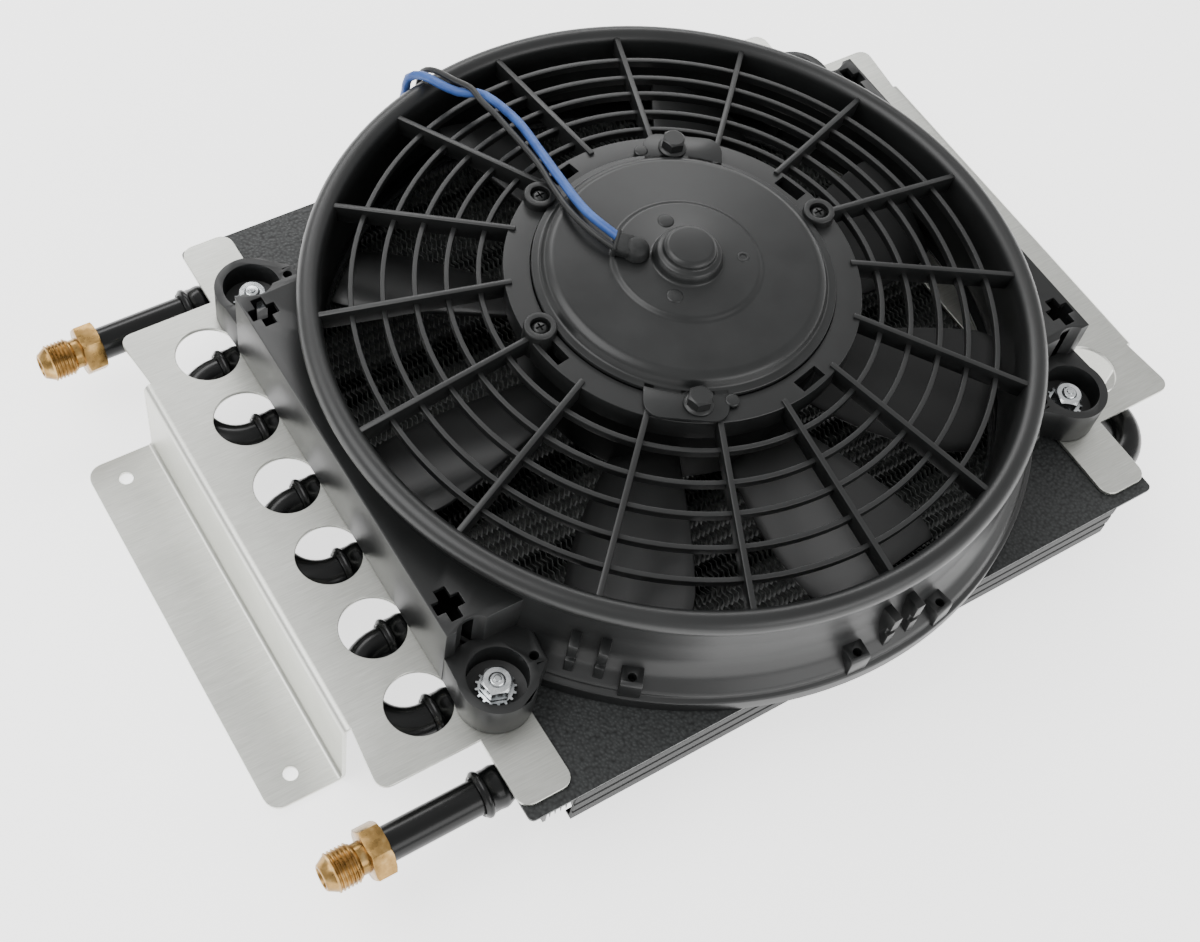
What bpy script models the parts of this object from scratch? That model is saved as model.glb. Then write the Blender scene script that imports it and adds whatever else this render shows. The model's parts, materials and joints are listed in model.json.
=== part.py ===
"""Hydraulic oil cooler: a flat eight-pass tube-and-fin core between two folded brackets, with an electric fan.

World frame: metres, +Z up along the fan's axis, +X from the port side to the plain side, origin on the floor.
"""
import math

import bmesh
import bpy
from mathutils import Vector

MM = 0.001
GAP = 0.3 * MM            # clearance between touching pieces
TAU = 2 * math.pi

# Core
TUBE_COUNT = 8
CORE_SHIFT_Y = -2.0 * MM  # the core sits a little off the fan's axis
TUBE_PITCH = 32.7 * MM
TUBE_RADIUS = 6.35 * MM   # half-inch tube
TUBE_WALL = 0.9 * MM
TUBE_Z = 27.7 * MM
BEND_RADIUS = TUBE_PITCH / 2
BEND_STEPS = 8
SOCKET_BORE = 6.8 * MM
SOCKET_RADIUS = 7.7 * MM
BEAD_RADIUS = 8.4 * MM
SOCKET_DEPTH = 11 * MM
SOCKET_MOUTH_X = -148.5 * MM
HAIRPIN_BEND_X = 140.6 * MM
RETURN_BEND_X = -149.5 * MM
CORE_BOTTOM = 19.0 * MM
CORE_TOP = 36.4 * MM
HEADER_X = 131 * MM
HEADER_THICKNESS = 1.2 * MM
FIN_HALF_LENGTH = 129.2 * MM
FIN_HALF_WIDTH = 130.4 * MM
FIN_TOP = 35.1 * MM
FIN_BOTTOM = 20.2 * MM
CHANNEL_HALF_LENGTH = 122 * MM
CHANNEL_FACE_Y = 134 * MM
CHANNEL_THICKNESS = 1.2 * MM

# Brackets and face plate
SHEET = 1.6 * MM
BRACKET_HEIGHT = 39.8 * MM
BEND_INNER = 1.5 * MM
FLANGE_INNER_X = 119.7 * MM
TAB_EDGE_X = 140.3 * MM
FLANGE_EDGE_X = 178.5 * MM
WEB_X = 179.2 * MM
FOOT_EDGE_X = 206.6 * MM
TAB_HALF_Y = 131.6 * MM
FLANGE_HALF_Y = 103.3 * MM
WEB_HALF_Y = 79 * MM
BIG_HOLE_X = 151.8 * MM
BIG_HOLE_RADIUS = 12 * MM
FOOT_HOLE = (194.2 * MM, 68.9 * MM)
FOOT_HOLE_RADIUS = 2.75 * MM
FACE_HALF_X = 139.7 * MM
FACE_HALF_Y = 134 * MM
FACE_THICKNESS = 1.2 * MM
FACE_TOP = BRACKET_HEIGHT - SHEET - GAP
FACE_OPENING = 130.5 * MM
PLATE_HOLE_STEPS = 12

# Fan shroud and grille, which are one moulding on the real fan
HOUSING_SEAT = BRACKET_HEIGHT + GAP
FOOT_SEAT = HOUSING_SEAT + 0.1 * MM
DRUM_SEAT = HOUSING_SEAT + 0.2 * MM
DRUM_FLOOR_TOP = 41.0 * MM
DRUM_BASE = FACE_TOP + GAP
LIP_RADIUS = 139 * MM
LIP_Z = 80.5 * MM
LIP_BEAD = 4.3 * MM
SKIRT_RADIUS = 146.5 * MM
BORE_RADIUS = 129 * MM
HUB_RING_RADIUS = 65.5 * MM
HUB_RING_BORE = 54.5 * MM
HUB_RING_Z = (86 * MM, 95.2 * MM)
RIB_COUNT = 16
RIB_THICKNESS = 2.2 * MM
RIB_DEPTH = 8 * MM
RIB_OUTER = (130.2 * MM, 83.4 * MM)
RIB_INNER = (63.8 * MM, 96.2 * MM)
GRILLE_RADII = [r * MM for r in (74, 85.4, 96.8, 108.2, 119.6)]
GRILLE_SECTION = (2.0 * MM, 3.6 * MM)
GRILLE_DROPS = [d * MM for d in (3.0, 3.5, 2.8, 3.4, 2.9)]
GRILLE_STEPS = 16
BLOCK_X = 141 * MM
BLOCK_HALF_Y = 78 * MM
DECK_Z = 72.3 * MM
BLOCK_WALL = 2.4 * MM
MOUNT_POINTS = [(sx * 128.1 * MM, sy * 91.7 * MM) for sx in (-1, 1) for sy in (-1, 1)]
BOSS_RADIUS = 14 * MM
BOSS_TOP = 55.8 * MM
RECESS_RADIUS = 10.8 * MM
RECESS_FLOOR = 45.8 * MM
CLIP_ANGLES = (-134.5, -87.5, -45.5, 45.5, 92.5, 134.5)
LUG_ANGLES = (-127.8, -95.2, -79.8)

# Fixings
STUD_RADIUS = 3 * MM
STUD_TOP = 54.1 * MM
CLEARANCE_RADIUS = 3.3 * MM
NUT_ACROSS_FLATS = 10 * MM

# Motor and rotor
COVER_Z = 95.5 * MM
SHAFT_RADIUS = 4 * MM
BOLT_CIRCLE = 58.9 * MM
BOLT_ANGLES = (61, 241)
SCREW_CIRCLE = 60.5 * MM
SCREW_ANGLES = (0, 119, 179)
GROMMET_AT = (-15.6 * MM, 10.6 * MM)
GROMMET_Z = (103.6 * MM, 109.0 * MM)
BLADE_COUNT = 8
BLADE_RADII = (56 * MM, 125 * MM)
BLADE_Z = (46 * MM, 71 * MM)
BLADE_HALF_WIDTHS = (14 * MM, 25 * MM)
BLADE_PHASE = math.radians(3)

BLUE_RADIUS = 1.75 * MM
BLACK_RADIUS = 1.2 * MM
BLUE_ROUTE = [
    (-18.6, 17.0, 106.0), (-22.4, 33.6, 105.3), (-21.3, 53.4, 102.8), (-19.0, 70.4, 99.3), (-17.4, 90.3, 96.3),
    (-20.0, 109.2, 92.8), (-26.9, 115.6, 91.3), (-30.6, 123.4, 89.8), (-33.4, 132.9, 87.4), (-36.5, 138.4, 82.6),
    (-37.2, 139.4, 74.0), (-38.0, 142.5, 60.0), (-39.5, 150.0, 46.0), (-40.0, 153.5, 30.0), (-37.0, 156.0, 14.0),
    (-28.0, 158.0, 4.4), (-14.0, 158.0, 1.9), (10.0, 155.0, 1.9), (45.0, 151.5, 1.9), (80.0, 153.0, 1.9),
    (108.0, 160.0, 1.9),
]
BLACK_ROUTE = [
    (-21.6, 12.8, 105.2), (-25.9, 25.0, 105.6), (-27.2, 36.6, 104.6), (-25.6, 50.6, 102.2), (-22.9, 66.6, 99.3),
    (-22.9, 92.1, 96.6), (-24.2, 104.2, 96.0), (-24.2, 112.4, 95.4), (-26.3, 121.0, 92.6), (-28.6, 132.0, 88.8),
    (-30.6, 138.0, 83.6), (-31.5, 139.4, 74.0), (-32.0, 142.6, 60.0), (-33.5, 150.4, 46.0), (-33.0, 155.0, 30.0),
    (-29.0, 160.5, 14.0), (-20.0, 166.0, 4.0), (-6.0, 168.0, 1.4), (20.0, 166.0, 1.4), (55.0, 161.0, 1.4),
    (90.0, 164.0, 1.4), (112.0, 172.0, 1.4),
]

PALETTE = {
    "black_plastic": ((0.022, 0.023, 0.024), 0.42, 0.0),
    "black_paint": ((0.016, 0.017, 0.018), 0.35, 0.0),
    "dark_steel": ((0.030, 0.031, 0.032), 0.38, 0.4),
    "fin_black": ((0.020, 0.021, 0.021), 0.55, 0.3),
    "aluminium": ((0.60, 0.61, 0.59), 0.36, 1.0),
    "zinc": ((0.72, 0.73, 0.74), 0.22, 1.0),
    "steel": ((0.50, 0.50, 0.51), 0.30, 1.0),
    "brass": ((0.55, 0.33, 0.13), 0.30, 1.0),
    "ferrite": ((0.05, 0.05, 0.055), 0.7, 0.0),
    "copper": ((0.60, 0.27, 0.13), 0.4, 1.0),
    "rubber": ((0.018, 0.018, 0.018), 0.7, 0.0),
    "blue_wire": ((0.10, 0.17, 0.42), 0.45, 0.0),
    "black_wire": ((0.015, 0.015, 0.016), 0.45, 0.0),
}


# ---------------------------------------------------------------- scene and objects
def clear_scene():
    for obj in list(bpy.data.objects):
        bpy.data.objects.remove(obj, do_unlink=True)


def new_collection(name):
    collection = bpy.data.collections.new(name)
    bpy.context.scene.collection.children.link(collection)
    return collection


clear_scene()
PARTS = new_collection("hydraulic_oil_cooler")
CUTTERS = new_collection("cutters")


def material(name):
    found = bpy.data.materials.get(name)
    if found:
        return found
    colour, roughness, metallic = PALETTE[name]
    made = bpy.data.materials.new(name)
    made.use_nodes = True
    shader = made.node_tree.nodes["Principled BSDF"]
    shader.inputs["Base Color"].default_value = (*colour, 1)
    shader.inputs["Roughness"].default_value = roughness
    shader.inputs["Metallic"].default_value = metallic
    made.diffuse_color = (*colour, 1)
    return made


def add_object(name, data, finish=None):
    """Link data as a part when it has a finish, and as a hidden cutter or building block when it has none."""
    obj = bpy.data.objects.new(name, data)
    if finish:
        PARTS.objects.link(obj)
        data.materials.append(material(finish))
        return obj
    CUTTERS.objects.link(obj)
    obj.hide_render = True
    obj.display_type = "WIRE"
    return obj


def mesh_from(bm, name, smooth=False):
    bmesh.ops.recalc_face_normals(bm, faces=bm.faces)
    for face in bm.faces:
        face.smooth = smooth
    mesh = bpy.data.meshes.new(name)
    bm.to_mesh(mesh)
    bm.free()
    return mesh


def box(name, low, high, finish=None):
    bm = bmesh.new()
    bmesh.ops.create_cube(bm, size=1)
    size = [b - a for a, b in zip(low, high)]
    middle = [(a + b) / 2 for a, b in zip(low, high)]
    bmesh.ops.scale(bm, vec=size, verts=bm.verts)
    bmesh.ops.translate(bm, vec=middle, verts=bm.verts)
    return add_object(name, mesh_from(bm, name), finish)


def cylinder(name, centre, radius, z_range, segments=24, finish=None, turn=0.0):
    low, high = z_range
    bm = bmesh.new()
    bmesh.ops.create_cone(bm, cap_ends=True, segments=segments, radius1=radius, radius2=radius, depth=high - low)
    mesh = mesh_from(bm, name, smooth=segments > 8)
    obj = add_object(name, mesh, finish)
    obj.location = (centre[0], centre[1], (low + high) / 2)
    obj.rotation_euler.z = turn
    return obj


def along_x(obj, y, z, x_range):
    """Lay an upright cylinder down along X, centred on x_range."""
    obj.rotation_euler = (0, math.pi / 2, 0)
    obj.location = ((x_range[0] + x_range[1]) / 2, y, z)
    return obj


def turned(name, profile, steps=48, finish=None, closed=False):
    """Spin a profile of (radius, height) points in a full circle about Z."""
    mesh = bpy.data.meshes.new(name)
    links = [(i, i + 1) for i in range(len(profile) - 1)]
    if closed:
        links.append((len(profile) - 1, 0))
    mesh.from_pydata([(r, 0, z) for r, z in profile], links, [])
    obj = add_object(name, mesh, finish)
    screw = obj.modifiers.new("Screw", "SCREW")
    screw.axis = "Z"
    screw.steps = steps
    screw.render_steps = steps
    screw.use_merge_vertices = True
    screw.merge_threshold = 0.00001
    screw.use_normal_calculate = True
    return solid(obj, smooth=True)


def solid(obj, smooth=False, weld=0.001 * MM):
    """Bake an object's modifiers or curve into one welded mesh whose faces point outward."""
    bpy.context.view_layer.update()
    evaluated = obj.evaluated_get(bpy.context.evaluated_depsgraph_get())
    mesh = bpy.data.meshes.new_from_object(evaluated)
    bm = bmesh.new()
    bm.from_mesh(mesh)
    bmesh.ops.remove_doubles(bm, verts=bm.verts, dist=weld)
    bmesh.ops.recalc_face_normals(bm, faces=bm.faces)
    for face in bm.faces:
        face.smooth = smooth
    bm.to_mesh(mesh)
    bm.free()
    name = obj.name
    matrix = obj.matrix_world.copy()
    finish = obj.data.materials[0].name if len(obj.data.materials) else None
    bpy.data.objects.remove(obj, do_unlink=True)
    mesh.materials.clear()
    made = add_object(name, mesh, finish)
    made.matrix_world = matrix
    return made


def boolean(target, operation, operands):
    """Join operands to a piece, or cut them from it, in one EXACT operation each."""
    for operand in operands:
        step = target.modifiers.new(operation.title(), "BOOLEAN")
        step.operation = operation
        step.solver = "EXACT"
        step.object = operand
    return target


def cut(target, cutters):
    return boolean(target, "DIFFERENCE", cutters)


def join(target, pieces):
    return boolean(target, "UNION", pieces)


def copy_of(obj, name, offset=(0, 0, 0), turn=0.0):
    made = bpy.data.objects.new(name, obj.data)
    PARTS.objects.link(made)
    made.location = obj.location + Vector(offset)
    made.rotation_euler.z = obj.rotation_euler.z + turn
    return made


# ---------------------------------------------------------------- curves and outlines
def arc(centre, radius, start, end, count):
    """Points on an arc, angles in degrees."""
    angles = [math.radians(start + (end - start) * i / count) for i in range(count + 1)]
    return [(centre[0] + radius * math.cos(a), centre[1] + radius * math.sin(a)) for a in angles]


def circle(centre, radius, count=24):
    return arc(centre, radius, 0, 360, count)[:-1]


def rounded(points, radius, count=3):
    """Replace each corner of a closed outline by a short arc of the given radius."""
    result = []
    for i, point in enumerate(points):
        here = Vector(point)
        back = (Vector(points[i - 1]) - here).normalized()
        ahead = (Vector(points[(i + 1) % len(points)]) - here).normalized()
        half = back.angle(ahead) / 2
        centre = here + (back + ahead).normalized() * radius / math.sin(half)
        first = here + back * radius / math.tan(half) - centre
        last = here + ahead * radius / math.tan(half) - centre
        for k in range(count + 1):
            spoke = first.lerp(last, k / count).normalized() * radius
            result.append(tuple(centre + spoke))
    return result


def plate(name, outlines, z_range, finish=None):
    """A flat plate: the first outline is its edge, the others are holes."""
    curve = bpy.data.curves.new(name, "CURVE")
    curve.dimensions = "2D"
    curve.fill_mode = "BOTH"
    curve.extrude = (z_range[1] - z_range[0]) / 2
    for outline in outlines:
        spline = curve.splines.new("POLY")
        spline.points.add(len(outline) - 1)
        for point, (x, y) in zip(spline.points, outline):
            point.co = (x, y, 0, 1)
        spline.use_cyclic_u = True
    obj = add_object(name, curve, finish)
    obj.location.z = (z_range[0] + z_range[1]) / 2
    return solid(obj)


def tube_curve(name, path, radius, resolution=3, finish=None):
    """A round bar along path; a path point may carry its own radius as a fourth value."""
    curve = bpy.data.curves.new(name, "CURVE")
    curve.dimensions = "3D"
    curve.bevel_depth = radius
    curve.bevel_resolution = resolution
    curve.use_fill_caps = True
    spline = curve.splines.new("POLY")
    spline.points.add(len(path) - 1)
    for point, place in zip(spline.points, path):
        point.co = (*place[:3], 1)
        point.radius = place[3] / radius if len(place) > 3 else 1
    return solid(add_object(name, curve, finish), smooth=True)


def smooth_route(route, spacing):
    """Evenly spaced points on a Catmull-Rom curve through a route given in millimetres."""
    knots = [Vector(p) * MM for p in route]
    knots = [2 * knots[0] - knots[1], *knots, 2 * knots[-1] - knots[-2]]
    dense = []
    for a, b, c, d in zip(knots, knots[1:], knots[2:], knots[3:]):
        for k in range(20):
            t = k / 20
            dense.append(0.5 * (2 * b + (c - a) * t + (2 * a - 5 * b + 4 * c - d) * t ** 2
                                + (3 * b - a - 3 * c + d) * t ** 3))
    dense.append(knots[-2])
    points = [dense[0]]
    for point in dense:
        if (point - points[-1]).length >= spacing:
            points.append(point)
    return [tuple(p) for p in points]


# ---------------------------------------------------------------- core
def tube_y(index):
    return ((TUBE_COUNT - 1) / 2 - index) * TUBE_PITCH + CORE_SHIFT_Y


def socket_leg(y, body, mouth, bead=None):
    """Path of one tube leg that widens to a socket at its mouth, from the mouth inward."""
    z = TUBE_Z
    neck_x = SOCKET_MOUTH_X + SOCKET_DEPTH
    path = [(SOCKET_MOUTH_X, y, z, bead or mouth), (neck_x, y, z, mouth), (neck_x + 1.5 * MM, y, z, body)]
    if bead:
        path.insert(1, (SOCKET_MOUTH_X + 1.2 * MM, y, z, bead))
        path.insert(2, (SOCKET_MOUTH_X + 1.8 * MM, y, z, mouth))
    return path


def hairpin_path(body, mouth, bead=None):
    y = BEND_RADIUS
    bend = [(HAIRPIN_BEND_X + px, py, TUBE_Z, body) for px, py in arc((0, 0), BEND_RADIUS, 90, -90, BEND_STEPS)]
    start = socket_leg(y, body, mouth, bead)
    finish = socket_leg(-y, body, mouth, bead)
    return start + bend + finish[::-1]


def overrun(path):
    """Carry a cutter's two ends past the openings they cut."""
    first, last = path[0], path[-1]
    step = -MM if first[0] < path[1][0] else MM
    return [(first[0] + step, *first[1:]), *path, (last[0] + step, *last[1:])]


def build_hairpins():
    outer = tube_curve("hairpin_tube_1", hairpin_path(TUBE_RADIUS, SOCKET_RADIUS, BEAD_RADIUS), TUBE_RADIUS,
                       finish="black_paint")
    bore = tube_curve("hairpin_bore", overrun(hairpin_path(TUBE_RADIUS - TUBE_WALL, SOCKET_BORE)), TUBE_RADIUS)
    first = solid(cut(outer, [bore]), smooth=True)
    first.location.y = 3 * TUBE_PITCH + CORE_SHIFT_Y
    for index in range(1, 4):
        copy_of(first, f"hairpin_tube_{index + 1}", (0, -2 * index * TUBE_PITCH, 0))


def build_return_bends():
    start_x = SOCKET_MOUTH_X + SOCKET_DEPTH - 2 * MM
    bend = [(RETURN_BEND_X - px, py, TUBE_Z) for px, py in arc((0, 0), BEND_RADIUS, 90, -90, BEND_STEPS)]
    path = [(start_x, BEND_RADIUS, TUBE_Z), *bend, (start_x, -BEND_RADIUS, TUBE_Z)]
    outer = tube_curve("return_bend_1", path, TUBE_RADIUS, finish="black_paint")
    bore = tube_curve("return_bend_bore", overrun(path), TUBE_RADIUS - TUBE_WALL)
    first = solid(cut(outer, [bore]), smooth=True)
    first.location.y = 2 * TUBE_PITCH + CORE_SHIFT_Y
    for index in (1, 2):
        copy_of(first, f"return_bend_{index + 1}", (0, -2 * index * TUBE_PITCH, 0))


def pipe_x(name, y, x_range, outer, inner, finish, segments=16):
    pipe = along_x(cylinder(name, (0, 0), outer, (0, x_range[1] - x_range[0]), segments, finish), y, TUBE_Z, x_range)
    longer = (x_range[0] - MM, x_range[1] + MM)
    bore = cylinder(name + "_bore", (0, 0), inner, (0, longer[1] - longer[0]), segments)
    return cut(pipe, [along_x(bore, y, TUBE_Z, longer)])


def build_ports():
    """Two straight stubs out of the outermost sockets, each with a male flare fitting on its end."""
    stub = (-188.6 * MM, SOCKET_MOUTH_X + SOCKET_DEPTH - 2 * MM)
    for label, index in (("far", 0), ("near", TUBE_COUNT - 1)):
        y = tube_y(index)
        pipe_x(f"port_stub_{label}", y, stub, TUBE_RADIUS, TUBE_RADIUS - TUBE_WALL, "black_paint")
        build_fitting(f"flare_fitting_{label}", y)


def build_fitting(name, y):
    """Hexagon with a blind socket for the stub, then neck, thread and a 37 degree nose, bored through."""
    radius = 17.46 * MM / 2 / math.cos(math.pi / 6)
    hexagon = along_x(cylinder(name, (0, 0), radius, (0, 7.7 * MM), 6, "brass"), y, TUBE_Z, (-191 * MM, -183.3 * MM))
    profile = [(0, 24.5), (4.9, 24.5), (6.4, 22.2), (7.15, 21.4), (7.15, 12.6), (6.2, 11.8), (6.2, 6), (0, 6)]
    spindle = turned(name + "_thread", [(r * MM, z * MM) for r, z in profile], 20)
    spindle.rotation_euler = (0, -math.pi / 2, 0)
    spindle.location = (-182.1 * MM, y, TUBE_Z)
    bore = cylinder(name + "_bore", (0, 0), 3.75 * MM, (0, 40 * MM), 16)
    socket = cylinder(name + "_socket", (0, 0), 6.8 * MM, (0, 8 * MM), 16)
    join(hexagon, [spindle])
    cut(hexagon, [along_x(bore, y, TUBE_Z, (-215 * MM, -175 * MM)),
                  along_x(socket, y, TUBE_Z, (-189.2 * MM, -181.2 * MM))])
    solid(hexagon)


def tube_bores(radius, x_range, name):
    bores = []
    for index in range(TUBE_COUNT):
        bore = cylinder(f"{name}_{index}", (0, 0), radius, (0, x_range[1] - x_range[0]), 12)
        bores.append(along_x(bore, tube_y(index), TUBE_Z, x_range))
    return bores


def build_fin_pack():
    low = (-FIN_HALF_LENGTH, CORE_SHIFT_Y - FIN_HALF_WIDTH, FIN_BOTTOM)
    high = (FIN_HALF_LENGTH, CORE_SHIFT_Y + FIN_HALF_WIDTH, FIN_TOP)
    pack = box("fin_pack", low, high, "fin_black")
    cut(pack, tube_bores(6.85 * MM, (-0.14, 0.14), "fin_bore"))


def build_headers():
    for label, side in (("left", -1), ("right", 1)):
        faces = sorted((side * HEADER_X, side * (HEADER_X - HEADER_THICKNESS)))
        low = (faces[0], CORE_SHIFT_Y - FIN_HALF_WIDTH, CORE_BOTTOM)
        high = (faces[1], CORE_SHIFT_Y + FIN_HALF_WIDTH, FIN_TOP)
        header = box(f"header_plate_{label}", low, high, "black_paint")
        cut(header, tube_bores(6.85 * MM, (faces[0] - MM, faces[1] + MM), f"header_{label}_bore"))


def build_channels():
    """A grooved channel closes each long side of the core."""
    for label, side in (("near", -1), ("far", 1)):
        face, back = CHANNEL_FACE_Y, CHANNEL_FACE_Y - CHANNEL_THICKNESS
        lip = FIN_HALF_WIDTH + GAP
        low, high, sheet, groove = CORE_BOTTOM, CORE_TOP, CHANNEL_THICKNESS, 0.6 * MM
        section = [(lip, low), (face, low), (face, low + 5 * MM), (face - groove, low + 6 * MM),
                   (face, low + 7 * MM), (face, high - 6 * MM), (face - groove, high - 5 * MM),
                   (face, high - 4 * MM), (face, high), (lip, high), (lip, high - sheet), (back, high - sheet),
                   (back, low + sheet), (lip, low + sheet)]
        channel = plate(f"side_channel_{label}", [section], (-CHANNEL_HALF_LENGTH, CHANNEL_HALF_LENGTH), "black_paint")
        channel.rotation_euler = (math.pi / 2, 0, side * math.pi / 2)
        channel.location.y += CORE_SHIFT_Y


def build_face_plate():
    half_x, near, far = FACE_HALF_X, CORE_SHIFT_Y - FACE_HALF_Y, CORE_SHIFT_Y + FACE_HALF_Y
    edge = [(-half_x, near), (half_x, near), (half_x, far), (-half_x, far)]
    holes = [circle(point, CLEARANCE_RADIUS, PLATE_HOLE_STEPS) for point in MOUNT_POINTS]
    plate("face_plate", [rounded(edge, 2 * MM), circle((0, 0), FACE_OPENING, 48), *holes],
          (FACE_TOP - FACE_THICKNESS, FACE_TOP), "black_paint")


# ---------------------------------------------------------------- brackets
def bracket_outline():
    relief = WEB_HALF_Y + 1.6 * MM
    notch_x = 175 * MM
    upper = [(FLANGE_INNER_X, TAB_HALF_Y), (TAB_EDGE_X, TAB_HALF_Y), (TAB_EDGE_X, FLANGE_HALF_Y),
             (FLANGE_EDGE_X, FLANGE_HALF_Y), (FLANGE_EDGE_X, relief), (notch_x, relief)]
    lower = [(x, -y) for x, y in upper]
    return rounded(lower, 0.8 * MM, 1) + rounded(upper, 0.8 * MM, 1)[::-1]


def bracket_section():
    """Middle line of the folded sheet: top leg, web and lower flange, with round bends."""
    middle = BEND_INNER + SHEET / 2
    top_z, low_z = BRACKET_HEIGHT - SHEET / 2, SHEET / 2
    upper = arc((WEB_X - middle, top_z - middle), middle, 90, 0, 4)
    lower = arc((WEB_X + middle, low_z + middle), middle, 180, 270, 4)
    return [(172 * MM, top_z), *upper, *lower, (FOOT_EDGE_X, low_z)]


def folded_sheet(name):
    bm = bmesh.new()
    rows = []
    for x, z in bracket_section():
        rows.append((bm.verts.new((x, -WEB_HALF_Y, z)), bm.verts.new((x, WEB_HALF_Y, z))))
    for (a, b), (c, d) in zip(rows, rows[1:]):
        bm.faces.new((a, b, d, c))
    sheet = add_object(name, mesh_from(bm, name))
    thicken = sheet.modifiers.new("Solidify", "SOLIDIFY")
    thicken.thickness = SHEET
    thicken.offset = 0
    thicken.use_even_offset = True
    return solid(sheet)


def bracket_cutters():
    reach = (-MM, BRACKET_HEIGHT + MM)
    spots = [(FOOT_HOLE[0], side * FOOT_HOLE[1], FOOT_HOLE_RADIUS, 12) for side in (-1, 1)]
    spots += [(x, y, CLEARANCE_RADIUS, 12) for x, y in MOUNT_POINTS if x > 0]
    spots += [(BIG_HOLE_X, (i - 2.5) * TUBE_PITCH, BIG_HOLE_RADIUS, 20) for i in range(TUBE_COUNT - 2)]
    return [cylinder(f"bracket_hole_{i}", (x, y), r, reach, n) for i, (x, y, r, n) in enumerate(spots)]


def build_brackets():
    top = (BRACKET_HEIGHT - SHEET, BRACKET_HEIGHT)
    bracket = plate("mounting_bracket_right", [bracket_outline()], top, "aluminium")
    join(bracket, [folded_sheet("bracket_fold")])
    cut(bracket, bracket_cutters())
    copy_of(solid(bracket), "mounting_bracket_left", turn=math.pi)


# ---------------------------------------------------------------- fan housing
def drum_section():
    """Hollow drum wall: flared skirt outside, rolled lip on top, straight bore inside and a narrow floor."""
    lip = arc((LIP_RADIUS / MM - LIP_BEAD / MM, LIP_Z / MM), LIP_BEAD / MM, 170, -50, 5)
    skirt, base, floor = SKIRT_RADIUS / MM, DRUM_BASE / MM, DRUM_FLOOR_TOP / MM
    outer = [(136.4, 74), (136.8, 60), (139.8, 49), (skirt, 43.2), (skirt, base)]
    inner = [(131.6, base), (131.6, floor), (skirt - 2.4, floor), (skirt - 2.4, 41.9), (137.6, 47.6), (134.4, 60),
             (133.9, 75), (131.2, 76), (131.2, 52), (BORE_RADIUS / MM, 52)]
    return [(r * MM, z * MM) for r, z in lip + outer + inner]


def build_rib(index):
    (outer_r, outer_z), (inner_r, inner_z) = RIB_OUTER, RIB_INNER
    length = math.hypot(outer_r - inner_r, outer_z - inner_z)
    pitch = math.atan2(inner_z - outer_z, outer_r - inner_r)
    name = f"rib_{index}"
    rib = box(name, (-length / 2, -RIB_THICKNESS / 2, -RIB_DEPTH), (length / 2, RIB_THICKNESS / 2, 0))
    angle = TAU * index / RIB_COUNT
    middle = (outer_r + inner_r) / 2
    rib.rotation_euler = (0, pitch, angle)
    rib.location = (middle * math.cos(angle), middle * math.sin(angle), (outer_z + inner_z) / 2)
    return rib


def grille_ring(radius, drop):
    (outer_r, outer_z), (inner_r, inner_z) = RIB_OUTER, RIB_INNER
    width, depth = GRILLE_SECTION
    top = outer_z + (inner_z - outer_z) * (outer_r - radius) / (outer_r - inner_r) - drop
    low, inside, outside = top - depth, radius - width / 2, radius + width / 2
    return turned("grille_ring", [(inside, top), (outside, top), (outside, low), (inside, low)], GRILLE_STEPS, closed=True)


def build_block(side):
    """One hollow side block, open below, that merges into the drum wall."""
    far, near, reach = side * BLOCK_X, side * 96 * MM, BLOCK_HALF_Y
    xs = sorted((far, near))
    block = box("side_block", (xs[0], -reach, HOUSING_SEAT), (xs[1], reach, DECK_Z))
    xs = sorted((side * (BLOCK_X - BLOCK_WALL), side * 90 * MM))
    hollow = box("block_hollow", (xs[0], BLOCK_WALL - reach, 0), (xs[1], reach - BLOCK_WALL, DECK_Z - BLOCK_WALL))
    cut(hollow, [cylinder("block_core", (0, 0), 138 * MM, (-0.1, 0.2), 40)])
    cut(block, [solid(hollow), cylinder("block_bore", (0, 0), 135.4 * MM, (-0.1, 0.2), 40)])
    return solid(block)


def build_foot(x, y):
    """Corner foot: a round boss with a web back to the block end and a corner toward the drum."""
    sx, sy = math.copysign(1, x), math.copysign(1, y)
    corner = (109.6 * MM, 93.6 * MM)
    outline = arc((abs(x), abs(y)), BOSS_RADIUS, 110, -20, 6) + [(140.6 * MM, 76 * MM), (112 * MM, 76 * MM), corner]
    outline = [(px * sx, py * sy) for px, py in outline]
    return plate("foot", [outline], (FOOT_SEAT, BOSS_TOP))


def foot_cutters(x, y):
    sx, sy = math.copysign(1, x), math.copysign(1, y)
    return [cylinder("foot_recess", (x, y), RECESS_RADIUS, (RECESS_FLOOR, 0.1), 16),
            cylinder("foot_hole", (x, y), CLEARANCE_RADIUS, (0, 0.1), 12),
            cylinder("foot_pin_hole", (sx * 113.2 * MM, sy * 90.6 * MM), 1.75 * MM, (0, 0.1), 8)]


def build_clip(angle):
    """Two posts on the drum wall that a cable or a guard can be clipped between."""
    posts = []
    for side in (-1, 1):
        post = box("clip_post", (135.3 * MM, side * 5.4 * MM - 1.6 * MM, 44.6 * MM),
                   (142.5 * MM, side * 5.4 * MM + 1.6 * MM, 64.8 * MM))
        post.rotation_euler.z = math.radians(angle)
        posts.append(post)
    return posts


def build_lug(angle):
    lug = box("lug", (135.5 * MM, -3.5 * MM, 44.9 * MM), (146 * MM, 3.5 * MM, 51.8 * MM))
    lug.rotation_euler.z = math.radians(angle)
    return lug


def shroud_openings():
    cutters = []
    for x, y in MOUNT_POINTS:
        cutters += foot_cutters(x, y)
    for side in (-1, 1):
        for end in (-1, 1):
            x, y = side * 136 * MM, end * 68 * MM
            cutters.append(box("clip_slot", (x - 2.2 * MM, y - 5 * MM, 0.06), (x + 2.2 * MM, y + 5 * MM, 0.08)))
    return cutters


def polar(radius, degrees):
    return (radius * math.cos(math.radians(degrees)), radius * math.sin(math.radians(degrees)))


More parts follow.
